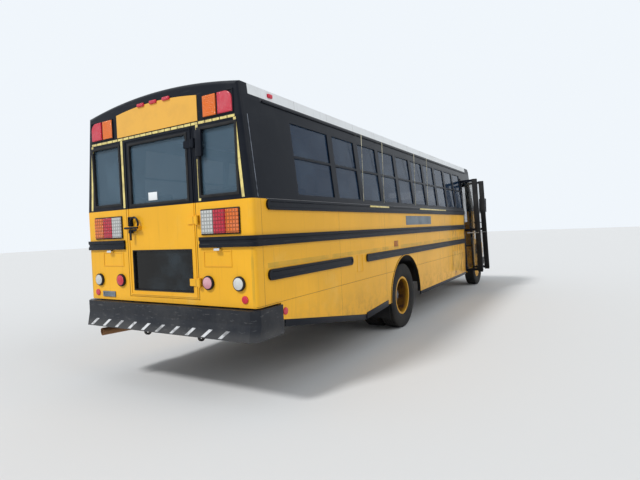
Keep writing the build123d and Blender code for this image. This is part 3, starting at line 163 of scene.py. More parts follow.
class Shade:
    """A socket of a material's nodes, on which sums are written as Python sums."""

    def __init__(self, tree, socket=None):
        self.tree = tree
        self.socket = socket

    def node(self, kind, settings=None, sockets=None, out=0):
        """Add a node with its settings, then the values or links of its sockets."""
        made = self.tree.nodes.new(kind)
        for key, value in (settings or {}).items():
            setattr(made, key, value)
        for key, value in (sockets or {}).items():
            if isinstance(value, Shade):
                self.tree.links.new(value.socket, made.inputs[key])
            else:
                made.inputs[key].default_value = value
        return Shade(self.tree, made.outputs[out])

    def maths(self, operation, other=0.0, reflected=False):
        """One Math node on this value and another, in turned order if reflected."""
        first, second = (other, self) if reflected else (self, other)
        return self.node("ShaderNodeMath", {"operation": operation}, {0: first, 1: second})

    def __add__(self, other):
        return self.maths("ADD", other)

    __radd__ = __add__

    def __sub__(self, other):
        return self.maths("SUBTRACT", other)

    def __rsub__(self, other):
        return self.maths("SUBTRACT", other, reflected=True)

    def __mul__(self, other):
        return self.maths("MULTIPLY", other)

    __rmul__ = __mul__

    def __truediv__(self, other):
        return self.maths("DIVIDE", other)

    def __or__(self, other):
        """The larger of two values, which joins masks."""
        return self.maths("MAXIMUM", other)

    def __abs__(self):
        return self.maths("ABSOLUTE")

    def rise(self, lower_rear_painted_shade, high, most=1.0):
        """A soft step from 0 at low to most at high."""
        return self.node("ShaderNodeMapRange", {"interpolation_type": "SMOOTHSTEP"},
                         {"Value": self, "From Min": lower_rear_painted_shade, "From Max": high, "To Max": most})

    def between(self, lower_rear_painted_shade, high, soft=0.002):
        """1 between two values and 0 outside them."""
        return self.rise(lower_rear_painted_shade - soft, lower_rear_painted_shade) * (1 - self.rise(high, high + soft))

    def line(self, half, soft):
        """1 where this distance is under half, 0 where it is over soft."""
        return 1 - self.rise(half, soft)

    def over(self, colour, behind):
        """A colour where this mask is 1 and the one behind it where it is 0."""
        return self.node("ShaderNodeMix", {"data_type": "RGBA"},
                         {0: self, 6: behind, 7: colour}, out=2)

    def near_repeat(self, start, pitch):
        """Distance to the nearest of evenly spaced places."""
        turns = (self - start) / pitch
        return abs(turns - turns.maths("ROUND")) * pitch


class Look:
    """What a finish reads from its surface: the place and its parts, and noise over it."""

    def __init__(self, tree):
        self.base = base = Shade(tree)
        self.place = base.node("ShaderNodeTexCoord", out="Object")
        self.x, self.y, self.z = (
            base.node("ShaderNodeSeparateXYZ", None, {0: self.place}, out=i) for i in range(3))
        self.back = self.x - REAR_FACE

    def noise(self, scale, detail=3.0, rough=0.55, stretch=None):
        """Noise of this scale, drawn out along an axis by stretch."""
        place = self.place
        if stretch:
            place = self.base.node("ShaderNodeMapping", None, {"Vector": place, "Scale": stretch})
        return self.base.node("ShaderNodeTexNoise", None,
                              {"Vector": place, "Scale": scale, "Detail": detail,
                               "Roughness": rough})

    def cells(self, scale):
        """Rounded cells of this scale."""
        return self.base.node("ShaderNodeTexVoronoi", None,
                              {"Vector": self.place, "Scale": scale})

    def bump(self, height, distance, strength=1.0):
        """A surface normal from a height."""
        return self.base.node("ShaderNodeBump", None,
                              {"Height": height, "Distance": distance, "Strength": strength})


def finish(name, build):
    """A Principled material whose sockets are what build returns."""
    material = bpy.data.materials.new(name)
    material.use_nodes = True
    tree = material.node_tree
    shader = tree.nodes["Principled BSDF"]
    for key, value in build(Look(tree)).items():
        if isinstance(value, Shade):
            tree.links.new(value.socket, shader.inputs[key])
        else:
            shader.inputs[key].default_value = value


# Finishes


def body_paint(look):
    """Yellow below the belt and black above it, with seams, streaks, dirt and rust."""
    yellow = tint("yellow")
    fine = look.noise(24.0, 4.0)
    on_side = abs(look.y).rise(1.195, 1.21)
    right = look.y.line(-1.2, -1.1)
    above = look.z.rise(BELT - 0.001, BELT + 0.001)
    paint = look.noise(0.9, 4.0).rise(0.35, 0.68).over(shade(yellow, 1.06), shade(yellow, 0.92))
    panel = look.base.node("ShaderNodeTexWhiteNoise", {"noise_dimensions": "1D"},
                           {"W": ((look.back - FIRST_PILLAR) / PANEL).maths("FLOOR")})
    paint = (panel * 0.14 * on_side).over(shade(yellow, 0.82), paint)
    bleached = look.noise(2.1, 5.0, 0.6).rise(0.55, 0.75, 0.25)
    paint = bleached.over((0.84, 0.55, 0.13, 1), paint)
    # A lower panel near the entrance that was painted again and has bleached
    patch = look.back.between(6.62, 7.50) * look.z.between(0.56, 1.02) * right
    paint = (patch * 0.4).over((0.86, 0.56, 0.15, 1), paint)
    # Worn olive tape above the lower rub rails and down the rear corners
    tape = look.z.between(1.278, 1.322) * on_side * look.back.between(0.18, DOOR_START - 0.05)
    corner = abs(look.y).between(1.172, 1.197) * look.back.line(0.045, 0.05)
    tape = (tape | corner * look.z.between(0.94, 1.47)) * look.noise(6.0, 5.0).rise(
        0.25, 0.6, 0.55)
    paint = tape.over((0.46, 0.30, 0.03, 1), paint)
    # Road dirt and its splashes
    grime = look.z.line(0.42, 1.0) * look.noise(7.0, 6.0, 0.65).rise(0.38, 0.66) * 0.36
    paint = grime.over(tint("dirt"), paint)
    # Streaks under the windows and the rub rails, stronger towards the entrance
    ahead = look.back.rise(4.2, 7.6)
    streak = look.noise(5.0, 4.0, 0.6, (7.0, 7.0, 0.32)).rise(0.56, 0.72) * (ahead * 0.3 + 0.13)
    paint = streak.over((0.24, 0.115, 0.03, 1), paint)
    # Stained upright seams and a rusty bay next to the entrance, and one rust spot
    stained = look.back.between(6.62, DOOR_START - 0.05) * look.z.between(0.5, 1.5) * right
    runs = look.noise(7.0, 8.0, 0.72, (1.3, 1.3, 0.42)).rise(0.45, 0.66)
    runs = runs * look.noise(1.7, 3.0, 0.5).rise(0.28, 0.5)
    paint = (stained * runs * 0.8).over((0.27, 0.095, 0.02, 1), paint)
    across, up = look.back - 4.32, look.z - 0.857
    spot = (across * across * 0.6 + up * up).maths("SQRT").line(0.008, 0.05) * right
    paint = (spot * 0.8).over((0.25, 0.08, 0.02, 1), paint)
    # Rust on the lower edge and scattered chips
    edge = look.z.line(0.5, 0.7) * 0.07 + look.z.line(0.9, 1.5) * ahead * 0.075
    chips = (look.noise(13.0, 6.0, 0.72) + edge * on_side).rise(0.715, 0.75)
    paint = (chips * 0.8).over(tint("rust"), paint)
    # Panel seams, the outline of the side flap's bay, and the rear door's gap
    upright = look.back.near_repeat(FIRST_PILLAR, PANEL).line(0.0012, 0.003) * on_side
    upright = upright * look.back.between(0.4, 8.6)
    level = abs(look.z - 0.94).line(0.0012, 0.003) * on_side
    outline = abs(look.back - 6.59).rise(0.004, 0.011) | abs(look.z - 0.93).rise(0.33, 0.335)
    level = level | (1 - outline) * on_side
    lap = abs(look.back - REAR_LAP).line(0.0012, 0.003) * on_side
    door = abs(abs(look.y) - 0.518).line(0.0025, 0.0045) * look.back.line(0.01, 0.02)
    seam = (upright | level) | (lap | door * look.z.rise(0.97, 0.98))
    paint = (seam * 0.75).over((0.13, 0.065, 0.012, 1), paint)
    # The cut edge of the wheel arch is black, and a thin ring just outside the arch lip is darkened
    # as a painted shadow line
    across, up = look.x - REAR_AXLE, look.z - ARCH_HEIGHT
    reach = (across * across + up * up).maths("SQRT")
    arch_black_and_lip_shadow = reach.line(0.655, 0.6555) + reach.between(0.6685, 0.6735)
    paint = (arch_black_and_lip_shadow * abs(look.y).rise(1.1, 1.12)).over((0.012, 0.012, 0.012, 1), paint)
    # Above the belt: dust, and old caulk down the corner of the leaning wall
    dust = look.noise(3.0, 5.0, 0.6).rise(0.45, 0.75, 0.05)
    dark = dust.over((0.12, 0.125, 0.13, 1), tint("black"))
    leaning = abs(look.y) + (look.z - BELT) * WALL_LEAN
    caulk = look.back.between(0.0825, 0.0865) * look.noise(5.0, 5.0).rise(0.36, 0.55, 0.8)
    caulk = caulk * leaning.rise(1.19, 1.205) * look.z.between(1.93, 2.68)
    dark = caulk.over((0.38, 0.42, 0.5, 1), dark)
    height = fine * 0.25 + look.noise(1.6, 2.0) * 3.0 - seam * 1.6 - chips * 0.5
    return {
        "Base Color": above.over(dark, paint),
        "Roughness": 0.38 - above * 0.1 + grime * 0.5 + chips * 0.4 + fine * 0.05,
        "Coat Weight": 0.2 - above * 0.2,
        "Coat Roughness": 0.12,
        "Specular IOR Level": 0.14,
        "Normal": look.bump(height, 0.0011),
    }


def trim_paint(look):
    """Black paint with faint dust and scratches."""
    dust = look.noise(2.4, 5.0, 0.6).rise(0.42, 0.78, 0.06)
    scratch = look.noise(9.0, 3.0, 0.5, (0.4, 0.4, 6.0)).rise(0.66, 0.72, 0.2)
    paint = dust.over((0.14, 0.14, 0.142, 1), tint("black"))
    return {
        "Base Color": scratch.over((0.09, 0.09, 0.09, 1), paint),
        "Roughness": dust + 0.32 + look.noise(30.0) * 0.1,
        "Specular IOR Level": 0.16,
        "Normal": look.bump(look.noise(22.0, 4.0) + look.noise(1.7, 2.0) * 4.0, 0.0008),
    }


def roof_stain(look):
    """Mask of the grime on white roof paint."""
    return look.noise(1.6, 6.0, 0.65).rise(0.44, 0.72, 0.34)


def cap_paint(look):
    """The black end caps, white on top from a little way in from the rear edge."""
    parts = trim_paint(look)
    white = look.z.rise(ROOF_EDGE, ROOF_EDGE + 0.003) * look.back.rise(0.128, 0.131)
    white = white * look.back.line(4.0, 4.01)
    pale = roof_stain(look).over((0.40, 0.39, 0.35, 1), tint("white"))
    parts["Base Color"] = white.over(pale, parts["Base Color"])
    return parts


def roof_paint(look):
    """White above the window band and black below its edge, with lap seams and grime."""
    seam = look.back.near_repeat(FIRST_PILLAR, BAY).line(0.0015, 0.004)
    stain = roof_stain(look) * (1 - look.z.line(2.93, 3.0) * 0.7)
    streak = look.noise(4.0, 4.0, 0.6, (6.0, 0.7, 0.7)).rise(0.54, 0.74, 0.2)
    paint = stain.over((0.40, 0.39, 0.35, 1), tint("white"))
    paint = streak.over((0.30, 0.29, 0.26, 1), paint)
    paint = (seam * 0.6).over((0.33, 0.33, 0.31, 1), paint)
    return {
        "Base Color": look.z.line(ROOF_EDGE, ROOF_EDGE + 0.003).over(tint("black"), paint),
        "Roughness": 0.5 + stain * 0.4,
        "Normal": look.bump(look.noise(1.2, 2.0) * 4.0 - seam + look.noise(20.0) * 0.3, 0.0012),
    }


def chassis_paint(look):
    """Dull black steel with dust and rust."""
    rust = look.noise(6.0, 6.0, 0.7).rise(0.5, 0.7, 0.55)
    dust = look.noise(1.8, 4.0).rise(0.35, 0.7, 0.4)
    paint = dust.over((0.085, 0.075, 0.062, 1), (0.018, 0.018, 0.019, 1))
    return {
        "Base Color": rust.over((0.085, 0.036, 0.017, 1), paint),
        "Roughness": 0.62 + rust * 0.3,
        "Normal": look.bump(look.noise(40.0, 5.0) + rust, 0.0015),
    }


def tinted_glass(look):
    """Side glass dark blue with a film of dust. The rear glass's upper panes are painted light blue
    for sky light seen through the bus, and its lower pane near black as painted shade; the rear
    glass and windscreen are also more see-through.
    """
    film = look.noise(2.2, 5.0, 0.6).rise(0.42, 0.75)
    rear = look.back.line(0.1, 0.2)
    screen = look.back.rise(8.62, 8.65)
    # Painted shade: the rear door's lower pane is near black and less see-through
    lower_rear_painted_shade = rear * look.z.line(1.6, 1.7)
    pane = lower_rear_painted_shade.over((0.005, 0.005, 0.005, 1), (0.012, 0.032, 0.070, 1))
    return {
        # Painted light: the rear glass's upper panes take a light blue that stands for sky light
        # seen through the bus
        "Base Color": (film * 0.12 + (rear - lower_rear_painted_shade) * 0.7).over((0.115, 0.19, 0.25, 1), pane),
        "Roughness": film * 0.1 + 0.03,
        "Alpha": film * 0.1 + 0.74 - (rear | screen) * 0.2 - screen * 0.3 + lower_rear_painted_shade * 0.35,
        "Specular IOR Level": 0.28,
        "Normal": look.bump(look.noise(0.9, 1.0), 0.002, 0.4),
    }


def clear_glass(look):
    """The entrance door's untinted glass, dusty low down."""
    film = look.noise(4.0, 5.0, 0.6).rise(0.36, 0.75)
    return {
        "Base Color": (film * 0.5).over((0.24, 0.21, 0.16, 1), (0.03, 0.04, 0.045, 1)),
        "Roughness": film * 0.15 + 0.03,
        "Alpha": film * 0.16 + 0.16,
        "Normal": look.bump(look.noise(0.9, 1.0), 0.002, 0.4),
    }


def bare_aluminium(look):
    """Brushed light metal."""
    grain = look.noise(30.0, 3.0, 0.5, (1.0, 14.0, 14.0))
    return {
        "Base Color": grain.rise(0.3, 0.7).over((0.66, 0.67, 0.68, 1), (0.48, 0.49, 0.5, 1)),
        "Metallic": 0.85,
        "Roughness": grain * 0.2 + 0.3,
        "Normal": look.bump(grain, 0.0004),
    }


def wheel_paint(look):
    """Yellow wheels with brown dirt, and a dark dish that is partly dirt and partly painted shade
    in its recess.
    """
    dirt = look.noise(7.0, 6.0, 0.65).rise(0.36, 0.66)
    # The recessed dish is darkened, partly by dirt and partly as painted shade
    dish_dirt_and_shade = abs(look.y).line(1.07, 1.15) * look.x.line(2.0, 2.1)
    chips = look.noise(28.0, 4.0, 0.7).rise(0.64, 0.7)
    paint = (dirt * 0.25 + dish_dirt_and_shade * 0.8).over((0.055, 0.018, 0.005, 1), shade(tint("yellow"), 0.82))
    return {
        "Base Color": (chips * 0.8).over((0.09, 0.035, 0.015, 1), paint),
        "Roughness": 0.42 + dirt * 0.3,
        "Normal": look.bump(look.noise(34.0, 4.0) + chips, 0.0012),
    }


def floor_rubber(look):
    """Ribbed floor covering."""
    worn = look.noise(2.5, 5.0).rise(0.4, 0.7, 0.5)
    return {
        "Base Color": worn.over((0.09, 0.088, 0.084, 1), (0.028, 0.028, 0.03, 1)),
        "Roughness": 0.66 + worn * 0.2,
        "Normal": look.bump((look.y * 420.0).maths("SINE"), 0.0015),
    }


def step_paint(look):
    """Yellow upright faces with scuffs, and black ribbed treads."""
    normal = look.base.node("ShaderNodeNewGeometry", out="Normal")
    upward = look.base.node("ShaderNodeSeparateXYZ", None, {0: normal}, out=2)
    tread = abs(upward).rise(0.6, 0.8)
    scuff = look.noise(6.0, 6.0, 0.7).rise(0.46, 0.66)
    paint = (scuff * 0.7).over((0.19, 0.09, 0.035, 1), shade(tint("yellow"), 0.86))
    return {
        "Base Color": tread.over((0.03, 0.03, 0.031, 1), paint),
        "Roughness": 0.5 + scuff * 0.3,
        "Normal": look.bump((look.y * 380.0).maths("SINE") * tread + scuff, 0.0012),
    }


def bench_vinyl(look):
    """Grained vinyl with worn, lighter high spots and a stitched seam."""
    vinyl = tint("vinyl")
    worn = look.noise(4.0, 5.0, 0.6).rise(0.45, 0.75, 0.4)
    stitch = abs(abs(look.y) - 0.66).line(0.0015, 0.004)
    return {
        "Base Color": worn.over(shade(vinyl, 1.7), vinyl),
        "Roughness": 0.44 + worn * 0.3,
        "Coat Weight": 0.1,
        "Normal": look.bump(look.cells(260.0) * 0.5 - stitch * 3.0, 0.0012),
    }


def cast_iron(look):
    """Sand-cast iron with oil."""
    oil = look.noise(3.0, 5.0).rise(0.45, 0.7, 0.6)
    return {
        "Base Color": oil.over((0.02, 0.018, 0.016, 1), (0.12, 0.12, 0.122, 1)),
        "Metallic": 0.6,
        "Roughness": 0.7 - oil * 0.3,
        "Normal": look.bump(look.noise(70.0, 5.0), 0.002),
    }


def dash_plastic(look):
    """Dark moulded plastic with a fine grain."""
    grain = look.cells(420.0)
    worn = look.noise(3.0).rise(0.4, 0.7)
    return {
        "Base Color": worn.over((0.05, 0.05, 0.053, 1), (0.033, 0.033, 0.036, 1)),
        "Roughness": 0.58 + grain * 0.1,
        "Normal": look.bump(grain, 0.0006),
    }


def tape_yellow(look):
    """Reflective tape with a honeycomb."""
    cell = look.cells(130.0)
    dirt = look.noise(12.0, 5.0, 0.65).rise(0.42, 0.66, 0.55)
    return {
        "Base Color": dirt.over((0.30, 0.22, 0.09, 1), (0.80, 0.66, 0.22, 1)),
        "Roughness": 0.3 + cell * 0.15,
        "Coat Weight": 0.3,
        "Normal": look.bump(cell, 0.0004),
    }


def stop_plate(look):
    """Red plate with a white rim, eight-sided, and a plain face."""
    across, up = abs(look.back - 8.23), abs(look.z - 1.73)
    reach = across | up | (across + up) * 0.70711
    worn = look.noise(8.0, 5.0).rise(0.4, 0.75, 0.2)
    paint = reach.rise(0.206, 0.2075).over((0.72, 0.72, 0.7, 1), (0.50, 0.012, 0.016, 1))
    return {
        "Base Color": worn.over((0.3, 0.2, 0.17, 1), paint),
        "Roughness": 0.35 + worn * 0.5,
        "Coat Weight": 0.3,
        "Normal": look.bump(look.noise(20.0), 0.0005),
    }


def bumper_paint(look):
    """Black bumper whose flared lower part carries worn white slanting stripes behind."""
    slant = look.y + (look.z - 0.64) * 1.3
    stripe = slant.near_repeat(0.04, 0.215).line(0.022, 0.025)
    behind = look.back.line(-0.03, -0.02) * look.z.between(0.652, 0.722, 0.004)
    behind = behind * look.y.rise(-1.05, -0.8)
    worn = look.noise(9.0, 6.0, 0.7).rise(0.62, 0.44)
    stripes = stripe * behind * (0.35 + worn * 0.6)
    dust = look.noise(2.0, 6.0, 0.65).rise(0.4, 0.7, 0.2) + look.z.line(0.66, 0.74) * 0.25
    scuff = look.noise(9.0, 5.0, 0.65, (1.0, 1.0, 5.0)).rise(0.6, 0.68, 0.3)
    paint = dust.over((0.125, 0.122, 0.117, 1), tint("black"))
    paint = scuff.over((0.17, 0.17, 0.17, 1), paint)
    return {
        "Base Color": stripes.over((0.68, 0.69, 0.7, 1), paint),
        "Roughness": 0.4 + dust * 0.6,
        "Specular IOR Level": 0.35,
        "Normal": look.bump(look.noise(1.5, 3.0) * 6.0 + look.noise(25.0), 0.0014),
    }


def lens(colour, faded=0.12, dots=0.0):
    """A build function for a ribbed lens of this colour, with rows of lights behind it."""
    def build(look):
        rib = (look.z * 520.0).maths("SINE") * (look.y * 520.0).maths("SINE")
        bleach = look.noise(4.0, 4.0).rise(0.4, 0.7, faded)
        pale = tuple(0.5 + 0.5 * part for part in colour[:3]) + (1.0,)
        grid = (look.z.near_repeat(0.0, 0.035).rise(0.009, 0.0145)
                | look.y.near_repeat(0.0, 0.035).rise(0.009, 0.0145))
        cluster = look.z.between(1.6, 1.85) * grid * dots
        return {
            "Base Color": cluster.over(shade(colour, 0.3), bleach.over(pale, colour)),
            "Roughness": 0.16 + bleach * 0.5,
            "Coat Weight": 0.3,
            "Coat Roughness": 0.12,
            "Specular IOR Level": 0.3,
            # Emission: a faint painted glow in the lens's own colour, also on the reflectors, which
            # are no lamps
            "Emission Color": colour,
            "Emission Strength": 0.06,
            "Normal": look.bump(rib, 0.0012),
        }
    return build


def spotted(noise, step, spots, ground, rough, relief, most=1.0, **more):
    """A build function for a ground with noisy spots of another colour.

    rough is the ground's roughness and what a spot adds to it. relief is the bump's depth and
    its noise, which is the spots' own where none is given."""
    def build(look):
        mask = look.noise(*noise).rise(*step)
        depth, *grain = relief
        return {
            "Base Color": (mask * most if most < 1 else mask).over(
                (*spots, 1), tint(ground) if isinstance(ground, str) else (*ground, 1)),
            "Roughness": rough[0] + mask * rough[1] if rough[1] else rough[0],
            "Normal": look.bump(look.noise(*grain) if grain else mask, depth),
            **{name.replace("_", " "): value for name, value in more.items()},
        }
    return build


FINISHES = {build.__name__: build for build in (
    body_paint, trim_paint, roof_paint, cap_paint, clear_glass, chassis_paint, tinted_glass,
    bare_aluminium, wheel_paint, floor_rubber, step_paint, bench_vinyl, cast_iron, dash_plastic,
    stop_plate, bumper_paint, tape_yellow)}
FINISHES.update({
    # Weathered rubber, browner with road dust
    "tyre_rubber": spotted((5.0, 5.0, 0.6), (0.35, 0.7, 0.5), (0.055, 0.05, 0.043),
                           (0.0085, 0.0085, 0.009), (0.72, 0.3), (0.0009, 90.0, 4.0),
                           Specular_IOR_Level=0.25),
    # Painted grey steel with chips
    "grey_steel": spotted((16.0, 5.0, 0.7), (0.6, 0.68), (0.12, 0.075, 0.05),
                          (0.19, 0.19, 0.195), (0.45, 0.3), (0.0006, 30.0), 0.6, Metallic=0.35),
    # Orange and brown rust
    "rusty_steel": spotted((9.0, 6.0, 0.7), (0.35, 0.65), (0.46, 0.16, 0.055), "rust",
                           (0.85, 0), (0.003, 60.0, 6.0, 0.7)),
    # Plain black rubber for seals and flaps
    "black_rubber": spotted((5.0, 5.0), (0.4, 0.7, 0.4), (0.04, 0.039, 0.037),
                            (0.007, 0.007, 0.008), (0.6, 0.2), (0.0006, 60.0),
                            Specular_IOR_Level=0.25),
    # Off-white for stickers and hatch lids
    "white_paint": spotted((3.0, 6.0, 0.65), (0.42, 0.72, 0.35), (0.36, 0.35, 0.31), "white",
                           (0.55, 0), (0.0006, 24.0)),
    # The blank sign panels: a flatter, slightly orange yellow
    "sign_yellow": spotted((5.0, 6.0, 0.65), (0.42, 0.72, 0.3), (0.60, 0.31, 0.05),
                           (0.80, 0.42, 0.055), (0.42, 0), (0.0005, 24.0)),
    # Worn cream sealing strip
    "cream_tape": spotted((9.0, 5.0, 0.7), (0.45, 0.62, 0.7), (0.07, 0.07, 0.06),
                          (0.55, 0.51, 0.36), (0.5, 0), (0.0003,)),
    # A worn side label, bleached to a brown orange
    "brown_label": spotted((14.0, 5.0, 0.65), (0.42, 0.62), (0.50, 0.22, 0.05),
                           (0.36, 0.12, 0.03), (0.7, 0), (0.0004,)),
    # The bare grey-blue patch on the side
    "patch_grey": spotted((4.0, 6.0, 0.65), (0.4, 0.7), (0.10, 0.125, 0.15),
                          (0.17, 0.205, 0.235), (0.5, 0), (0.0005, 20.0)),
    # Bright plated metal with light pitting
    "chrome": spotted((50.0, 4.0), (0.6, 0.75), (0.3, 0.28, 0.26), (0.78, 0.79, 0.8),
                      (0.12, 0.4), (0.0003,), 0.5, Metallic=1.0),
})

# The finish of each CAD node that stays in view
NODE_FINISHES = {
    "body_paint": "side_wall_right side_wall_left rear_wall cowl rear_door hood",
    "cap_paint": "end_caps",
    "trim_paint": "window_frames grille door_leaf_rear door_leaf_front mirrors rub_rails",
    "roof_paint": "roof",
    "white_paint": "hatch_rear hatch_front",
    "chassis_paint": "frame_rails crossmembers leaf_springs rear_axle front_axle knuckle_left "
                     "knuckle_right fuel_tank",
    "tinted_glass": "body_glass rear_door_glass",
    "clear_glass": "door_glass_rear door_glass_front",
    "wheel_paint": "front_rim_left front_rim_right rear_rims_left rear_rims_right",
    "floor_rubber": "floor wheel_boxes",
    "step_paint": "entrance_steps",
    "grey_steel": "driveshaft tie_rod seat_frames",
    "rusty_steel": "exhaust",
    "cast_iron": "engine",
    "dash_plastic": "dashboard steering_wheel",
    "black_rubber": "mud_flaps",
    "stop_plate": "stop_arm",
    "bumper_paint": "bumpers",
    "bench_vinyl": "seat_cushions driver_seat",
    "red_lens": "lamps_red",
    "amber_lens": "lamps_amber",
    "clear_lens": "lamps_clear headlamps",
    "tyre_rubber": "front_tyre_left front_tyre_right rear_tyres_left rear_tyres_right",
}


# Modelling helpers


def deselect():
    bpy.ops.object.select_all(action="DESELECT")


def focus(*pieces):
    """Select these pieces alone, the first one active."""
    deselect()
    for piece in pieces:
        piece.select_set(True)
    bpy.context.view_layer.objects.active = pieces[0]


@contextmanager
def editing(piece):
    """Edit mode on one piece."""
    focus(piece)
    bpy.ops.object.mode_set(mode="EDIT")
    yield piece
    bpy.ops.object.mode_set(mode="OBJECT")


def pick(kind, test):
    """Select the FACEs or EDGEs being edited whose middle and direction pass a test."""
    bpy.ops.mesh.select_mode(type=kind)
    bpy.ops.mesh.select_all(action="DESELECT")
    mesh = bmesh.from_edit_mesh(bpy.context.object.data)
    if kind == "FACE":
        for face in mesh.faces:
            face.select = test(face.calc_center_median(), face.normal)
    else:
        for edge in mesh.edges:
            first, last = (corner.co for corner in edge.verts)
            edge.select = test((first + last) / 2, (last - first).normalized())
    mesh.select_flush_mode()
    bmesh.update_edit_mesh(bpy.context.object.data)


def facing(way, least=0.9):
    """A test for faces that look along +X, -X and so on, or with X alone along both ways."""
    along = "XYZ".index(way[-1])
    if len(way) == 1:
        return lambda _, normal: abs(normal[along]) > least
    sign = float(way[0] + "1")
    return lambda _, normal: sign * normal[along] > least


def pressed(piece, way, *steps, least=0.9):
    """Inset the faces that look a way, once for each step's width and depth."""
    with editing(piece):
        pick("FACE", facing(way, least))
        for width, depth in steps:
            bpy.ops.mesh.inset(thickness=width, depth=depth)
    return piece


def pierced(piece, axis, bar):
    """Inset both faces across an axis and join them by a hole."""
    with editing(piece):
        pick("FACE", facing(axis))
        bpy.ops.mesh.inset(thickness=bar, depth=0)
        bpy.ops.mesh.bridge_edge_loops()
    return piece


def slid(piece, test, move):
    """Slide the faces that pass a test."""
    with editing(piece):
        pick("FACE", test)
        bpy.ops.transform.translate(value=move)
    return piece


def round_edges(piece, width, segments=2, test=lambda middle, direction: True):
    """Bevel the edges that pass a test."""
    with editing(piece):
        pick("EDGE", test)
        bpy.ops.mesh.bevel(offset=width, offset_type="OFFSET", segments=segments, affect="EDGES")
    return piece


def block(lower_rear_painted_shade, high, bevel=0.0, segments=2):
    """A box between two corners, its edges rounded."""
    deselect()
    lower_rear_painted_shade, high = Vector(lower_rear_painted_shade), Vector(high)
    bpy.ops.mesh.primitive_cube_add(size=1, location=(lower_rear_painted_shade + high) / 2)
    piece = bpy.context.object
    piece.scale = high - lower_rear_painted_shade
    bpy.ops.object.transform_apply(location=True, rotation=True, scale=True)
    return round_edges(piece, bevel, segments) if bevel else piece


def on_rear(inner, outer, lower_rear_painted_shade, high, proud, bevel=0.0, segments=2):
    """A box that stands proud of the rear wall."""
    return block((at(-proud), inner, lower_rear_painted_shade), (at(0.001), outer, high), bevel, segments)


def on_side(start, end, lower_rear_painted_shade, high, proud, bevel=0.0, side=1):
    """A box that stands proud of a side wall."""
    near, far = sorted(side * (HALF_WIDTH + depth) for depth in (-0.001, proud))
    return block((at(start), near, lower_rear_painted_shade), (at(end), far, high), bevel)


TURNS = {"X": (0, pi / 2, 0), "Y": (pi / 2, 0, 0), "Z": (0, 0, 0)}


def drum(middle, radius, depth, axis="X", corners=24, bevel=0.0, segments=2):
    """A round bar about an axis, its rims rounded."""
    deselect()
    bpy.ops.mesh.primitive_cylinder_add(vertices=corners, radius=radius, depth=depth,
                                        location=middle, rotation=TURNS[axis])
    piece = bpy.context.object
    bpy.ops.object.transform_apply(location=True, rotation=True, scale=True)
    if bevel:
        along = "XYZ".index(axis)
        round_edges(piece, bevel, segments, lambda _, direction: abs(direction[along]) < 0.5)
    return piece


def hollow_frame(lower_rear_painted_shade, high, bar, bevel=0.003):
    """A rectangular ring: a box with a hole along X, its edges rounded."""
    return round_edges(pierced(block(lower_rear_painted_shade, high), "X", bar), bevel)


def placed(piece, move):
    """A copy of a piece with its own mesh, moved."""
    twin = piece.copy()
    twin.data = piece.data.copy()
    twin.data.transform(move)
    if move.is_negative:
        twin.data.flip_normals()
    bpy.context.collection.objects.link(twin)
    return twin


def joined(pieces):
    """Several pieces as one."""
    focus(*pieces)
    if len(pieces) > 1:
        bpy.ops.object.join()
    return bpy.context.object


def copies(piece, moves):
    """A piece modelled once, copied to each move and joined; the first one is removed."""
    made = [placed(piece, move) for move in moves]
    bpy.data.objects.remove(piece)
    return joined(made)


def both_sides(piece):
    return copies(piece, (HERE, MIRROR))


def shift(x=0.0, y=0.0, z=0.0):
    return Matrix.Translation((x, y, z))


def round_axle(axle, radius, number):
    """Moves to places spaced round an axle."""
    turns = [tau * i / number for i in range(number)]
    return [shift(axle + radius * cos(turn), 0, AXLE_HEIGHT + radius * sin(turn))
            for turn in turns]


def painted(piece, material):
    """Give a part its finish before it is joined to others."""
    piece.data.materials.clear()
    piece.data.materials.append(bpy.data.materials[material])
    return piece


def settle(piece, name, material=None, body="body", angle=32):
    """Finish a piece: its name, smooth shading, finish and body."""
    focus(piece)
    bpy.ops.object.transform_apply(location=True, rotation=True, scale=True)
    bpy.ops.object.shade_smooth_by_angle(angle=radians(angle))
    piece.name = piece.data.name = name
    if material:
        painted(piece, material)
    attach(piece, body)
    return piece


class Maker:
    """What the operators share."""

    bl_options = {"REGISTER", "UNDO"}


class BUS_OT_finishes(Maker, bpy.types.Operator):
    """Make every finish and give the CAD nodes theirs"""

    bl_idname = "bus.finishes"
    bl_label = "Finishes"

    def execute(self, context):
        for name, build in FINISHES.items():
            finish(name, build)
        finish("red_lens", lens(tint("red"), 0.12, 0.8))
        finish("faded_lens", lens((0.56, 0.20, 0.25, 1), 0.4))
        finish("amber_lens", lens(tint("amber"), 0.12, 0.8))
        finish("clear_lens", lens((0.55, 0.56, 0.54, 1), 0.3, 0.7))
        for material, names in NODE_FINISHES.items():
            for name in names.split():
                painted(NODES[name], material)
        return {"FINISHED"}


def arched_panel(back, front, lower_rear_painted_shade, high, drop, middle_z):
    """A thin panel whose top edge is cut to an arch that falls by drop at its ends."""
    half = 0.60
    piece = block((back, -half, lower_rear_painted_shade), (front, half, high))
    with editing(piece):
        for step in range(-5, 6):
            place = half * step / 5.5
            height = middle_z - drop * (place / half) ** 2
            slope = 2 * drop * place / half ** 2
            pick("FACE", lambda middle, normal: True)
            bpy.ops.mesh.bisect(plane_co=(0, place, height), plane_no=(0, slope, 1),
                                use_fill=True, clear_outer=True)
    return piece


class BUS_OT_sign_panels(Maker, bpy.types.Operator):
    """Blank sign panels over the rear door and over the windscreen"""

    bl_idname = "bus.sign_panels"
    bl_label = "Sign panels"

    def execute(self, context):
        rear = arched_panel(at(-0.005), at(0.002), 2.687, 3.02, 0.045, 2.972)
        settle(rear, "sign_panel_rear", "sign_yellow")
        front = arched_panel(FRONT_FACE - 0.002, FRONT_FACE + 0.005, 2.70, 2.95, 0.03, 2.893)
        settle(front, "sign_panel_front", "sign_yellow")
        return {"FINISHED"}


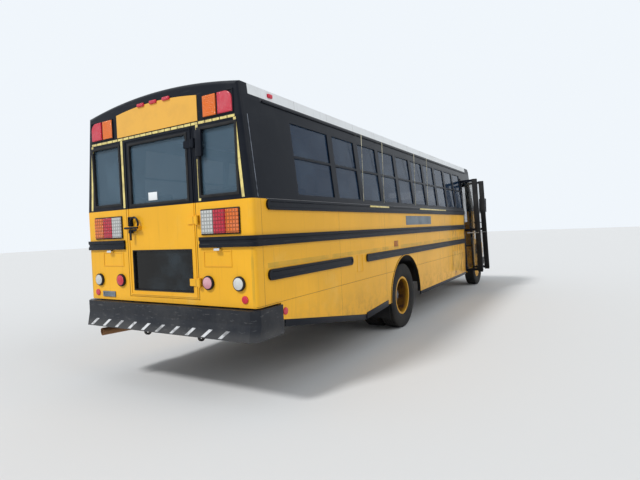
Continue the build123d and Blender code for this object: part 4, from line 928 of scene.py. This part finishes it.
class BUS_OT_tapes(Maker, bpy.types.Operator):
    """Reflective tape round the rear door and under the rear cap, and a hinge's cover"""

    bl_idname = "bus.tapes"
    bl_label = "Reflective tapes"

    def execute(self, context):
        deep, wide, lower_rear_painted_shade, high = 0.002, 0.031, 1.93, 2.65
        # Level row: segments with dark breaks
        number = 23
        segment = on_rear(-0.041, 0.041, 2.6535, 2.6765, deep)
        strips = [copies(segment, [shift(y=(i - (number - 1) / 2) * 0.0925)
                                   for i in range(number)])]
        # Upright strips beside the door, the right one broken at the upper hinge
        strips.append(on_rear(0.527, 0.527 + wide, lower_rear_painted_shade, high, deep))
        for start, end in ((lower_rear_painted_shade, 2.33), (2.60, high)):
            strips.append(on_rear(-0.567 - wide, -0.567, start, end, deep))
        # Strips that lean with the rear corners
        for side in (-1, 1):
            strip = on_rear(1.118 * side - wide / 2, 1.118 * side + wide / 2, lower_rear_painted_shade, high, deep)
            strips.append(slid(strip, facing("+Z"), (0, -0.062 * side, 0)))
        settle(joined(strips), "reflective_tapes", "tape_yellow")
        cover = on_rear(-0.655, -0.575, 2.345, 2.6, 0.03, 0.008)
        settle(cover, "hinge_cover", "trim_paint")
        return {"FINISHED"}


def lens_block(inner, outer, lower_rear_painted_shade, high, back, depth, cells, corner=0.0):
    """A box lens for the left half of one end, facing away from back, with cells pressed in it."""
    front = back + depth
    piece = block((min(back, front), inner, lower_rear_painted_shade), (max(back, front), outer, high))
    if corner:
        round_edges(piece, corner, 7,
                    lambda middle, direction: abs(direction.x) > 0.9 and middle.y > outer - 0.01
                    and middle.z > high - 0.01)
    round_edges(piece, 0.006, 2,
                lambda middle, direction: abs(direction.x) < 0.5 and abs(middle.x - front) < 1e-4)
    face = facing("+X" if depth > 0 else "-X", 0.99)
    with editing(piece):
        pick("FACE", face)
        bpy.ops.mesh.subdivide(number_cuts=cells)
        pick("FACE", face)
        bpy.ops.mesh.inset(use_individual=True, thickness=0.0022, depth=0.0018)
    return piece


def round_lamp(place_y, material):
    """A round lamp low on the rear wall: black ring and domed lens."""
    height, radius, deep = 1.15, 0.055, 0.022
    ring = drum((at(-0.011), place_y, height), radius + 0.013, 0.024, "X", 36, 0.004)
    glass = drum((at(-deep / 2 - 0.006), place_y, height), radius, deep, "X", 36)
    pressed(glass, "-X", (0.016, 0.005), (0.018, 0.003), (0.016, 0.0015))
    return [painted(ring, "black_rubber"), painted(glass, material)]


class BUS_OT_lamps(Maker, bpy.types.Operator):
    """Warning, tail, stop, turn, reversing and clearance lamps"""

    bl_idname = "bus.lamps"
    bl_label = "Lamps"

    def execute(self, context):
        # Warning lamps at both ends, in dark surrounds
        for colour, inner, outer, corner in (("red", 0.865, 1.04, 0.085), ("amber", 0.68, 0.84, 0)):
            lenses = [both_sides(lens_block(inner, outer, 2.705, 2.9, back, depth, 9, corner))
                      for back, depth in ((at(0.0), -0.014), (FRONT_FACE, 0.014))]
            settle(joined(lenses), f"warning_lenses_{colour}", f"{colour}_lens")
        rims = [both_sides(hollow_frame((lower_rear_painted_shade, 0.67, 2.695), (high, 1.052, 2.91), 0.009, 0.002))
                for lower_rear_painted_shade, high in ((at(-0.008), at(0.001)),
                                  (FRONT_FACE - 0.001, FRONT_FACE + 0.008))]
        settle(joined(rims), "warning_surrounds", "trim_paint")
        # Tail clusters: dark housing, then white, red and amber lenses from the door outwards
        housing = both_sides(on_rear(0.588, 1.072, 1.603, 1.847, 0.012, 0.006))
        settle(housing, "tail_housings", "black_rubber")
        for colour, inner, outer in (("clear", 0.60, 0.75), ("red", 0.757, 0.903),
                                     ("amber", 0.91, 1.06)):
            lenses = both_sides(lens_block(inner, outer, 1.615, 1.835, at(-0.008), -0.016, 8))
            settle(lenses, f"tail_lenses_{colour}", f"{colour}_lens")
        # Round lamps low on the rear wall; the right-hand red one has faded
        parts = []
        for side, red in ((-1, "faded_lens"), (1, "red_lens")):
            parts += round_lamp(1.03 * side, "clear_lens") + round_lamp(0.65 * side, red)
        settle(joined(parts), "round_lamps")
        # Clearance lamps on the rear cap, the roof's edge and over the windscreen
        threes = [shift(y=place) for place in (-0.19, 0, 0.19)]
        lamp = block((at(-0.022), -0.052, 2.952), (at(0.002), 0.052, 2.988), 0.010, 3)
        row = copies(lamp, threes)
        start = Vector((at(0.46), 3.0, 2.925))
        reach = NODES["roof"].ray_cast(start, Vector((0, -1, 0)))[1].y
        edge = block((at(0.425), reach - 0.02, 2.905), (at(0.495), reach + 0.022, 2.945), 0.010, 3)
        settle(joined([row, both_sides(edge)]), "clearance_lamps_red", "red_lens")
        lamp = block((FRONT_FACE - 0.002, -0.052, 2.905), (FRONT_FACE + 0.02, 0.052, 2.937),
                     0.010, 4)
        settle(copies(lamp, threes), "clearance_lamps_amber", "amber_lens")
        # Reflectors
        rear = drum((at(-0.004), 1.085, 1.005), 0.036, 0.012, "X", 24, 0.003)
        side = drum((at(0.42), HALF_WIDTH + 0.004, 0.84), 0.036, 0.012, "Y", 24, 0.003)
        settle(both_sides(joined([rear, side])), "reflectors", "red_lens")
        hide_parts("lamps_red")
        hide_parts("lamps_amber")
        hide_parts("lamps_clear")
        return {"FINISHED"}


class BUS_OT_rear_fittings(Maker, bpy.types.Operator):
    """Seals, panels, plate bracket, blank sticker and door handle of the rear end"""

    bl_idname = "bus.rear_fittings"
    bl_label = "Rear fittings"

    def execute(self, context):
        seals = [hollow_frame((at(-0.006), -half - margin, lower_rear_painted_shade - margin),
                              (at(0.03), half + margin, high + margin), bar)
                 for lower_rear_painted_shade, high, half, margin, bar in ((1.95, 2.59, 0.43, 0.014, 0.026),
                                                      (1.05, 1.47, 0.44, 0.004, 0.012))]
        settle(joined(seals), "door_glass_seals", "black_rubber", "rear_door")
        flank = hollow_frame((at(-0.006), 0.575, 1.955), (at(0.03), 1.075, 2.625), 0.028)
        settle(both_sides(flank), "flank_glass_seals", "black_rubber")
        panel = on_rear(0.60, 0.95, 1.30, 1.455, 0.004, 0.0015)
        pressed(panel, "-X", (0.009, 0), (0.002, -0.0025))
        settle(both_sides(panel), "lamp_access_panels", "body_paint")
        lip = hollow_frame((at(-0.007), -0.497, 1.0), (at(0.001), 0.497, 2.64), 0.016, 0.002)
        settle(lip, "door_skin_lip", "body_paint", "rear_door")
        shade_box = on_rear(0.765, 0.835, 1.452, 1.478, 0.045, 0.007, 3)
        settle(both_sides(shade_box), "plate_lamps", "chrome")
        bracket = hollow_frame((at(-0.01), 0.77, 0.962), (at(0.001), 0.99, 1.022), 0.018, 0.002)
        plate = on_rear(0.775, 0.985, 0.967, 1.017, 0.005, 0.001)
        settle(joined([bracket, plate]), "plate_bracket", "patch_grey")
        note = block((at(0.0145), 0.035, 1.985), (at(0.0175), 0.168, 2.068), 0.0008)
        settle(note, "blank_sticker", "white_paint", "rear_door")
        # Door handle: a black grip and ring on their plate
        grip = drum((at(-0.052), 0.385, 1.71), 0.011, 0.21, "Y", 16, 0.003)
        lever = block((at(-0.047), 0.395, 1.58), (at(-0.038), 0.422, 1.72), 0.003)
        plate = on_rear(0.412, 0.486, 1.655, 1.83, 0.014, 0.004)
        pressed(plate, "-X", (0.009, 0), (0.003, -0.007))
        deselect()
        bpy.ops.mesh.primitive_torus_add(
            location=(at(-0.03), 0.362, 1.752), rotation=(0, pi / 2, 0), major_radius=0.062,
            minor_radius=0.0105, major_segments=36, minor_segments=10)
        grab = bpy.context.object
        grab.scale = (1.1, 1.0, 1.0)
        bpy.ops.object.transform_apply(location=True, rotation=True, scale=True)
        settle(joined([grip, lever, plate, grab]), "door_handle", "trim_paint",
               "rear_door")
        return {"FINISHED"}


def grooved_rail(start, end, lower_rear_painted_shade, high, proud):
    """A rub rail on the left wall with round ends and a channel pressed along it."""
    piece = on_side(start, end, lower_rear_painted_shade, high, proud)
    round_edges(piece, (high - lower_rear_painted_shade) / 2 - 0.004, 5, lambda _, direction: abs(direction.y) > 0.9)
    return pressed(piece, "+Y", (0.021, 0), (0.008, -0.009), least=0.95)


def wrapped_rail(end, lower_rear_painted_shade, high, proud):
    """The belt rail of the left side, which turns the rear corner and ends short of the door."""
    bend = 0.04
    piece = on_side(bend, end, lower_rear_painted_shade, high, proud)
    with editing(piece):
        for level in (lower_rear_painted_shade + 0.006, lower_rear_painted_shade + 0.03, lower_rear_painted_shade + 0.04, high - 0.04, high - 0.03, high - 0.006):
            pick("FACE", lambda middle, normal: True)
            bpy.ops.mesh.bisect(plane_co=(0, 0, level), plane_no=(0, 0, 1))
        pick("FACE", lambda middle, normal: normal.y > 0.9 and lower_rear_painted_shade + 0.04 < middle.z < high - 0.04)
        bpy.ops.transform.translate(value=(0, -0.009, 0))
        pick("FACE", facing("-X"))
        bpy.ops.mesh.spin(steps=6, angle=-pi / 2, center=(at(bend), HALF_WIDTH - bend, 0),
                          axis=(0, 0, 1))
        bpy.ops.mesh.extrude_region_move(
            TRANSFORM_OT_translate={"value": (0, 0.56 - (HALF_WIDTH - bend), 0)})
    return piece


class BUS_OT_rub_rails(Maker, bpy.types.Operator):
    """Black rub rails with a pressed channel, in place of the plain ones"""

    bl_idname = "bus.rub_rails"
    bl_label = "Rub rails"

    def execute(self, context):
        proud = sizes().rail_proud
        before_door = DOOR_START - 0.03
        parts = []
        for side, front, hand in ((-1, before_door, MIRROR), (1, COWL - 0.06, HERE)):
            rails = [wrapped_rail(front, 1.484, 1.584, proud)]
            for start, end, lower_rear_painted_shade, high in ((0.172, 1.88, 1.16, 1.262), (2.287, front, 1.16, 1.262),
                                          (0.19, front, 1.812, 1.912)):
                rails.append(grooved_rail(start, end, lower_rear_painted_shade, high, proud))
            parts.append(copies(joined(rails), [hand]))
            # Skirt strips, the rear one rising behind the wheel, and the guard ahead of it
            for start, end, lower_rear_painted_shade, lift in ((4.445, before_door, 0.426, 0.0),
                                          (0.42, 2.235, 0.408, 0.278)):
                strip = block((at(start), side * 1.209 - 0.01, lower_rear_painted_shade),
                              (at(end), side * 1.209 + 0.01, 0.484), 0.003)
                parts.append(slid(strip, lambda middle, _: middle.x < at(start) + 0.01,
                                  (0, 0, lift)))
            guard = block((at(2.24), side * 1.215 - 0.012, 0.415),
                          (at(2.98), side * 1.215 + 0.012, 0.50), 0.003)
            parts.append(slid(guard, lambda middle, _: middle.x > at(2.97), (0, 0, 0.05)))
        rails = settle(joined(parts), "rub_rails_pressed", "trim_paint")
        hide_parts("rub_rails")
        return {"FINISHED"}


class BUS_OT_rivets(Maker, bpy.types.Operator):
    """Rivet rows along the side panels' seams"""

    bl_idname = "bus.rivets"
    bl_label = "Rivets"

    def execute(self, context):
        size = sizes()
        head = drum((0, HALF_WIDTH + 0.0006, 0), size.rivet_radius, 0.003, "Y", 8, 0.001, 1)
        places = []
        for seam in (REAR_LAP, *(FIRST_PILLAR + PANEL * i for i in range(5))):
            for lower_rear_painted_shade, high in ((1.02, 1.14), (1.28, 1.47), (1.6, 1.8)):
                number = int((high - lower_rear_painted_shade) / size.rivet_pitch) + 1
                places += [(seam + 0.018, lower_rear_painted_shade + i * size.rivet_pitch) for i in range(number)]
        # The lower row, broken at the rear wheel's arch
        for i in range(62):
            along = 0.45 + i * 0.115
            if abs(at(along) - REAR_AXLE) > 0.72 and along < DOOR_START - 0.05:
                places.append((along, 0.952))
        moves = [shift(at(along), 0, height) for along, height in places]
        settle(both_sides(copies(head, moves)), "rivets", "body_paint")
        return {"FINISHED"}


class BUS_OT_side_trim(Maker, bpy.types.Operator):
    """Pillar and exit strips, a painted highlight strip on the belt rail's top, blank patches,
    label, flap and drip rails of the sides
    """

    bl_idname = "bus.side_trim"
    bl_label = "Side trim"

    def execute(self, context):
        # Bright edges on some pillars, leaning with the wall
        lower_rear_painted_shade, high = 1.955, 2.83
        strips = []
        for i in (1, 2, 4, 5):
            front = FIRST_PILLAR + BAY * i + 0.031
            strip = block((at(front - 0.009), wall_y(lower_rear_painted_shade) - 0.002, lower_rear_painted_shade),
                          (at(front), wall_y(lower_rear_painted_shade) + 0.003, high), 0.001)
            strips.append(slid(strip, facing("+Z"), (0, wall_y(high) - wall_y(lower_rear_painted_shade), 0)))
        settle(both_sides(joined(strips)), "pillar_strips", "cream_tape")
        # Reflective strips on the face of the upper rub rail
        face = HALF_WIDTH + sizes().rail_proud
        strips = [block((at(start), face - 0.004, 1.883), (at(end), face + 0.0015, 1.905), 0.0008)
                  for start, end in ((2.44, 3.10), (4.50, 6.13))]
        settle(both_sides(joined(strips)), "exit_strips", "tape_yellow")
        # A thin grey strip along the top of the belt rail, a painted highlight of the rail's top
        # edge
        rail_top_highlight = on_side(0.2, DOOR_START - 0.06, 1.911, 1.918, 0.006, 0.001)
        settle(both_sides(rail_top_highlight), "sill_edges", "grey_steel")
        patch = on_side(3.84, 5.17, 1.627, 1.774, 0.002, 0.0008)
        settle(both_sides(patch), "blank_side_patches", "patch_grey")
        label = on_side(3.29, 3.46, 1.305, 1.395, 0.0018, 0.0006, side=-1)
        settle(label, "worn_side_label", "brown_label")
        flap = on_side(2.02, 2.18, 1.05, 1.27, 0.003, 0.0012, side=-1)
        pressed(flap, "-Y", (0.006, 0), (0.0015, -0.0018))
        settle(flap, "side_flap", "body_paint")
        # Drip rail over the windows
        height = 2.845
        gutter = block((at(0.32), wall_y(height) - 0.001, height - 0.008),
                       (at(8.38), wall_y(height) + 0.014, height + 0.008))
        pressed(gutter, "+Z", (0.003, 0), (0.001, -0.007))
        settle(both_sides(gutter), "drip_rails", "trim_paint")
        return {"FINISHED"}


def treaded_tyre():
    """A road tyre on the Y axis: shaped side walls, grooves and shoulder blocks."""
    half = 0.103
    size = sizes()
    corners = size.tread_blocks * 2
    piece = drum((0, 0, AXLE_HEIGHT), AXLE_HEIGHT, 2 * half, "Y", corners)
    for way in ("-Y", "+Y"):
        pressed(piece, way, (0.012, 0.010), (0.03, 0.011), (0.043, 0.003), (0.05, -0.002),
                (0.022, -0.006), (0.035, -0.012), (0.03, -0.019))

    def from_axle(centre):
        return hypot(centre.x, centre.z - AXLE_HEIGHT)

    def in_groove(centre, normal):
        place = abs(centre.y)
        return (abs(normal.y) < 0.1 and (0.016 < place < 0.026 or 0.054 < place < 0.064)
                and from_axle(centre) > 0.49)

    def in_slot(centre, normal):
        turn = Vector((centre.x, centre.z - AXLE_HEIGHT)).angle_signed(Vector((1, 0)), 0.0)
        return (abs(normal.y) < 0.1 and 0.066 < abs(centre.y) < half
                and round(turn / tau * corners - 0.5) % 4 == 0)

    with editing(piece):
        pick("FACE", lambda centre, normal: abs(normal.y) > 0.9 and from_axle(centre) < 0.05)
        bpy.ops.mesh.bridge_edge_loops()
        # Round grooves
        for cut in (-0.064, -0.054, -0.026, -0.016, 0.016, 0.026, 0.054, 0.064):
            pick("FACE", lambda centre, normal: abs(centre.y) < half and from_axle(centre) > 0.49)
            bpy.ops.mesh.bisect(plane_co=(0, cut, 0), plane_no=(0, 1, 0))
        pick("FACE", in_groove)
        bpy.ops.mesh.inset(thickness=0.0012, depth=-size.tread_depth)
        # Slots between the shoulder blocks
        pick("FACE", in_slot)
        bpy.ops.mesh.inset(thickness=0.002, depth=-0.009)
    return piece


class BUS_OT_arch_lips(Maker, bpy.types.Operator):
    """Rolled lips round the rear wheel arches"""

    bl_idname = "bus.arch_lips"
    bl_label = "Arch lips"

    def execute(self, context):
        ring = drum((REAR_AXLE, HALF_WIDTH + 0.003, ARCH_HEIGHT), 0.668, 0.012, "Y", 96)
        pierced(ring, "Y", 0.013)
        with editing(ring):
            bpy.ops.mesh.select_all(action="SELECT")
            bpy.ops.mesh.bisect(plane_co=(0, 0, 0.487), plane_no=(0, 0, -1), use_fill=True,
                                clear_outer=True)
        round_edges(ring, 0.003, 2, lambda middle, direction: abs(direction.y) < 0.1
                    and middle.y > HALF_WIDTH + 0.008)
        settle(both_sides(ring), "arch_lips", "body_paint")
        return {"FINISHED"}


class BUS_OT_tyres(Maker, bpy.types.Operator):
    """Treaded tyres in place of the plain ones"""

    bl_idname = "bus.tyres"
    bl_label = "Tyres"

    def execute(self, context):
        model = treaded_tyre()
        for side, hand in ((1, "left"), (-1, "right")):
            for node, body, axle, places in (
                    (f"front_tyre_{hand}", f"wheel_front_{hand}", FRONT_AXLE, (1.035,)),
                    (f"rear_tyres_{hand}", f"wheels_rear_{hand}", REAR_AXLE, (1.045, 0.727))):
                tyres = joined([placed(model, shift(axle, side * place)) for place in places])
                settle(tyres, f"{node}_treaded", "tyre_rubber", body, 25)
                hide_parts(node)
        bpy.data.objects.remove(model)
        return {"FINISHED"}


class BUS_OT_wheel_nuts(Maker, bpy.types.Operator):
    """Nuts, studs and hub caps of the wheels"""

    bl_idname = "bus.wheel_nuts"
    bl_label = "Wheel nuts"

    def execute(self, context):
        size = sizes()
        for hand, side in (("left", HERE), ("right", MIRROR)):
            for name, body, axle, face, hub in (("front", "wheel_front", FRONT_AXLE, 1.163, 1.223),
                                                ("rear", "wheels_rear", REAR_AXLE, 0.908, 1.036)):
                nut = drum((0, face + 0.012, 0), 0.019, 0.026, "Y", 6, 0.003)
                stud = drum((0, face + 0.026, 0), 0.011, 0.03, "Y", 12, 0.002)
                nuts = copies(joined([nut, stud]),
                              round_axle(axle, size.nut_circle, size.nut_count))
                cap = drum((axle, hub + 0.006, AXLE_HEIGHT), 0.062, 0.014, "Y", 32, 0.005)
                bolt = drum((0, hub + 0.004, 0), 0.009, 0.018, "Y", 6, 0.002)
                bolts = copies(bolt, round_axle(axle, 0.075, 8))
                piece = copies(joined([nuts, cap, bolts]), [side])
                settle(piece, f"{name}_wheel_nuts_{hand}", "cast_iron",
                       f"{body}_{hand}")
        return {"FINISHED"}


def swell(piece, voxel):
    """Remesh a pad, fill it with air pressure, and hold each point near where it began."""
    focus(piece)
    piece.data.remesh_voxel_size = voxel
    bpy.ops.object.voxel_remesh()
    starts = [corner.co.copy() for corner in piece.data.vertices]
    air = piece.modifiers.new("air", "CLOTH")
    air.settings.use_pressure = True
    air.settings.uniform_pressure_force = 4.0
    air.settings.effector_weights.gravity = 0.0
    scene = bpy.context.scene
    for step in range(1, 21):
        scene.frame_set(step)
    bpy.ops.object.modifier_apply(modifier="air")
    scene.frame_set(1)
    most = sizes().pad_swell
    for corner, start in zip(piece.data.vertices, starts):
        move = corner.co - start
        if move.length > most:
            corner.co = start + move.normalized() * most
    return piece


class BUS_OT_benches(Maker, bpy.types.Operator):
    """Padded benches and the driver's seat"""

    bl_idname = "bus.benches"
    bl_label = "Benches"

    def execute(self, context):
        size = sizes()
        inner, outer = 0.205, 1.114
        cushion = swell(block((0.035, inner, 1.442), (0.505, outer, 1.522), 0.028, 3), 0.026)
        back = block((0.015, inner, 1.54), (0.075, outer, 2.08), 0.026, 3)
        with editing(back):
            pick("FACE", lambda middle, normal: middle.z > 2.03)
            bpy.ops.transform.translate(value=(-0.06, 0, 0))
            pick("EDGE", lambda middle, direction: abs(direction.z) > 0.9)
            bpy.ops.mesh.subdivide(number_cuts=2)
        swell(back, 0.026)
        rows = [shift(at(0.38 + size.bench_pitch * row)) for row in range(size.bench_rows)]
        moves = rows + [MIRROR @ move for move in rows]
        cushions, backs = (
            settle(copies(piece, moves), name, "bench_vinyl", angle=60)
            for piece, name in ((cushion, "bench_cushions"), (back, "bench_backs")))
        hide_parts("seat_cushions")
        # Driver's seat: pads on a steel pedestal
        seat = swell(block((7.54, 0.475, 1.405), (8.01, 0.925, 1.48), 0.026, 3), 0.018)
        rest = slid(block((7.505, 0.48, 1.51), (7.57, 0.92, 2.05), 0.024, 3),
                    lambda middle, normal: middle.z > 2.01, (-0.02, 0, 0))
        pads = joined([copies(piece, [shift(REAR_FACE)]) for piece in (seat, swell(rest, 0.018))])
        settle(pads, "driver_seat_pads", "bench_vinyl", angle=60)
        foot = block((at(7.58), 0.52, 1.0605), (at(7.94), 0.88, 1.075), 0.004)
        column = drum((at(7.76), 0.7, 1.225), 0.07, 0.30, "Z", 24, 0.006)
        pan = block((at(7.55), 0.49, 1.372), (at(7.99), 0.91, 1.392), 0.006)
        base = settle(joined([foot, column, pan]), "driver_seat_pedestal",
                      "grey_steel")
        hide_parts("driver_seat")
        return {"FINISHED"}


class BUS_OT_door_fittings(Maker, bpy.types.Operator):
    """Bars and rubber edges of the entrance door, its frame and the step's handrail"""

    bl_idname = "bus.door_fittings"
    bl_label = "Door fittings"

    def execute(self, context):
        for name in ("rear", "front"):
            body = f"door_leaf_{name}"
            lower_rear_painted_shade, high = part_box(body)
            middle = middle_x(f"door_glass_{name}")
            edge = lower_rear_painted_shade.y + DOOR_SLOPE * (1.39 - lower_rear_painted_shade.z) + 0.03
            bar = block((middle - 0.03, edge, 1.38), (middle + 0.03, edge + 0.27, 1.40), 0.006)
            pressed(bar, "X", (0.004, -0.002))
            settle(bar, f"door_bar_{name}", "bare_aluminium", body)
            # The wide rubber edge leans with the leaf
            guard = block((lower_rear_painted_shade.x - 0.002, 0, lower_rear_painted_shade.z + 0.01),
                          (high.x + 0.002, 0.105, high.z - 0.01), 0.004)
            slid(guard, lambda middle, _: middle.z > high.z - 0.02,
                 (0, DOOR_SLOPE * (high.z - lower_rear_painted_shade.z), 0))
            guard.location.y = lower_rear_painted_shade.y + 0.006
            settle(guard, f"door_edge_{name}", "black_rubber", body)
        # Black frame round the doorway, on the wall's face
        posts = [on_side(start, start + 0.045, 0.5, BELT, 0.006, 0.002, side=-1)
                 for start in (DOOR_START - 0.05, DOOR_START + 0.825)]
        settle(joined(posts), "doorway_trim", "trim_paint")
        rail = drum((at(8.52), -0.93, 1.25), 0.014, 0.72, "Z", 16, 0.004)
        with editing(rail):
            pick("FACE", facing("+Z"))
            bpy.ops.mesh.spin(steps=6, angle=pi / 2, center=(at(8.57), -0.93, 1.61), axis=(0, 1, 0))
        settle(rail, "step_handrail", "bare_aluminium")
        return {"FINISHED"}


class BUS_OT_mirror_glass(Maker, bpy.types.Operator):
    """Mirror glass and rounded backs on the outside mirrors"""

    bl_idname = "bus.mirror_glass"
    bl_label = "Mirror glass"

    def execute(self, context):
        face = at(COWL + 0.115)
        glass = block((face - 0.003, 1.357, 1.897), (face + 0.002, 1.488, 2.208), 0.0012)
        settle(both_sides(glass), "mirror_glass", "chrome")
        shell = block((face - 0.004, 1.341, 1.881), (face + 0.046, 1.504, 2.224), 0.016, 4)
        pressed(shell, "-X", (0.006, 0), (0.002, -0.003))
        settle(both_sides(shell), "mirror_shells", "trim_paint")
        return {"FINISHED"}


class BUS_OT_front_fittings(Maker, bpy.types.Operator):
    """Lamp bezels, headlamp lenses, hood latches and wipers of the front"""

    bl_idname = "bus.front_fittings"
    bl_label = "Front fittings"

    def execute(self, context):
        face = FRONT_AXLE + 0.85
        rings = [pierced(drum((face - 0.002, place, 0.85), radius, 0.02, "X", 40), "X", 0.016)
                 for place, radius in ((0.80, 0.109), (1.0, 0.056))]
        settle(both_sides(joined(rings)), "lamp_bezels", "chrome", "hood")
        glass = drum((face - 0.004, 0.80, 0.85), 0.092, 0.02, "X", 40)
        pressed(glass, "+X", (0.02, 0.006), (0.025, 0.004), (0.025, 0.002))
        settle(both_sides(glass), "headlamp_lenses", "clear_lens", "hood")
        latch = block((at(COWL + 0.03), 1.17, 1.0), (at(COWL + 0.075), 1.19, 1.09), 0.006)
        settle(both_sides(latch), "hood_latches", "black_rubber", "hood")
        # Wipers lie along the foot of each pane
        wipers = []
        for side in (-1, 1):
            middle = side * 0.52
            wipers.append(block((at(COWL + 0.128), middle - 0.24, 1.615),
                                (at(COWL + 0.146), middle + 0.24, 1.633), 0.004))
            wipers.append(drum((at(COWL + 0.13), side * 0.28, 1.60), 0.016, 0.05, "X", 16, 0.004))
        settle(joined(wipers), "wipers", "black_rubber")
        return {"FINISHED"}


class BUS_OT_undercarriage(Maker, bpy.types.Operator):
    """Spring clips and tank cap"""

    bl_idname = "bus.undercarriage"
    bl_label = "Undercarriage"

    def execute(self, context):
        clips = [hollow_frame((place - 0.008, 0.338, height - 0.09),
                              (place + 0.008, 0.438, height + 0.1), 0.011)
                 for axle, height in ((REAR_AXLE, 0.60), (FRONT_AXLE, 0.575))
                 for place in (axle - 0.055, axle + 0.055)]
        settle(both_sides(joined(clips)), "spring_clips", "chassis_paint")
        cap = drum((at(5.9), -1.137, 0.85), 0.05, 0.03, "Y", 24, 0.006)
        settle(cap, "tank_cap", "bare_aluminium")
        return {"FINISHED"}


class BUS_OT_stage(Maker, bpy.types.Operator):
    """Pale floor, soft light and the camera at the photograph's angle"""

    bl_idname = "bus.stage"
    bl_label = "Stage"

    def execute(self, context):
        deselect()
        bpy.ops.mesh.primitive_plane_add(size=sizes().floor_size, location=(0, 0, 0))
        ground = context.object
        ground.name = "stage_floor"
        finish("stage_floor", lambda look: {"Base Color": tint("floor"), "Roughness": 0.9})
        painted(ground, "stage_floor")
        # A sky that is brighter where it is seen than where it lights
        scene = context.scene
        world = scene.world = bpy.data.worlds.new("studio")
        world.use_nodes = True
        tree = world.node_tree
        camera_ray, through_ray, glossy_ray = (
            Shade(tree).node("ShaderNodeLightPath", out=name)
            for name in ("Is Camera Ray", "Is Transmission Ray", "Is Glossy Ray"))
        shown = camera_ray | through_ray | glossy_ray
        sky = tree.nodes["Background"]
        sky.inputs["Color"].default_value = (0.90, 0.95, 1.0, 1)
        tree.links.new((shown * 0.35 + 0.62).socket, sky.inputs["Strength"])
        for name, angles, energy, soft in (("sun_main", (42, 0, -112), 2.05, 10),
                                           ("sun_fill", (55, 0, 8), 0.55, 40)):
            lamp = bpy.data.lights.new(name, "SUN")
            lamp.energy = energy
            lamp.angle = radians(soft)
            sun = bpy.data.objects.new(name, lamp)
            sun.rotation_euler = [radians(angle) for angle in angles]
            scene.collection.objects.link(sun)
        optics = bpy.data.cameras.new("photo_camera")
        optics.lens = 25.53
        optics.sensor_width = 36.0
        camera = bpy.data.objects.new("photo_camera", optics)
        right, up, behind = (Vector(row) for row in (
            (0.5121, -0.8579, -0.0425), (0.0408, -0.0252, 0.9988), (-0.858, -0.5132, 0.0221)))
        turn = Matrix((right, up, behind)).transposed().to_4x4()
        camera.matrix_world = shift(-8.2330, -3.7689, 1.6055) @ turn
        scene.collection.objects.link(camera)
        scene.camera = camera
        scene.view_settings.view_transform = "Standard"
        return {"FINISHED"}


OPERATORS = (
    BUS_OT_stage, BUS_OT_finishes, BUS_OT_sign_panels, BUS_OT_tapes, BUS_OT_lamps,
    BUS_OT_rear_fittings, BUS_OT_rub_rails, BUS_OT_rivets, BUS_OT_side_trim, BUS_OT_arch_lips,
    BUS_OT_tyres, BUS_OT_wheel_nuts, BUS_OT_benches, BUS_OT_door_fittings, BUS_OT_mirror_glass,
    BUS_OT_front_fittings, BUS_OT_undercarriage,
)


class BUS_PT_panel(bpy.types.Panel):
    """Lists the pieces that can be made"""

    bl_idname = "BUS_PT_panel"
    bl_label = "School bus"
    bl_space_type = "VIEW_3D"
    bl_region_type = "UI"
    bl_category = "Bus"

    def draw(self, context):
        for group in (context.scene.bus_sizes, context.scene.bus_colours):
            for name in group.__annotations__:
                self.layout.prop(group, name)
        for operator in OPERATORS:
            self.layout.operator(operator.bl_idname)


CLASSES = (BusSizes, BusColours, *OPERATORS, BUS_PT_panel)


def register():
    for item in CLASSES:
        bpy.utils.register_class(item)
    bpy.types.Scene.bus_sizes = bpy.props.PointerProperty(type=BusSizes)
    bpy.types.Scene.bus_colours = bpy.props.PointerProperty(type=BusColours)


def unregister():
    del bpy.types.Scene.bus_colours
    del bpy.types.Scene.bus_sizes
    for item in reversed(CLASSES):
        bpy.utils.unregister_class(item)


def main():
    """Register the classes and make every piece."""
    register()
    for operator in OPERATORS:
        group, name = operator.bl_idname.split(".")
        getattr(getattr(bpy.ops, group), name)()
    deselect()


if __name__ == "__main__":
    main()
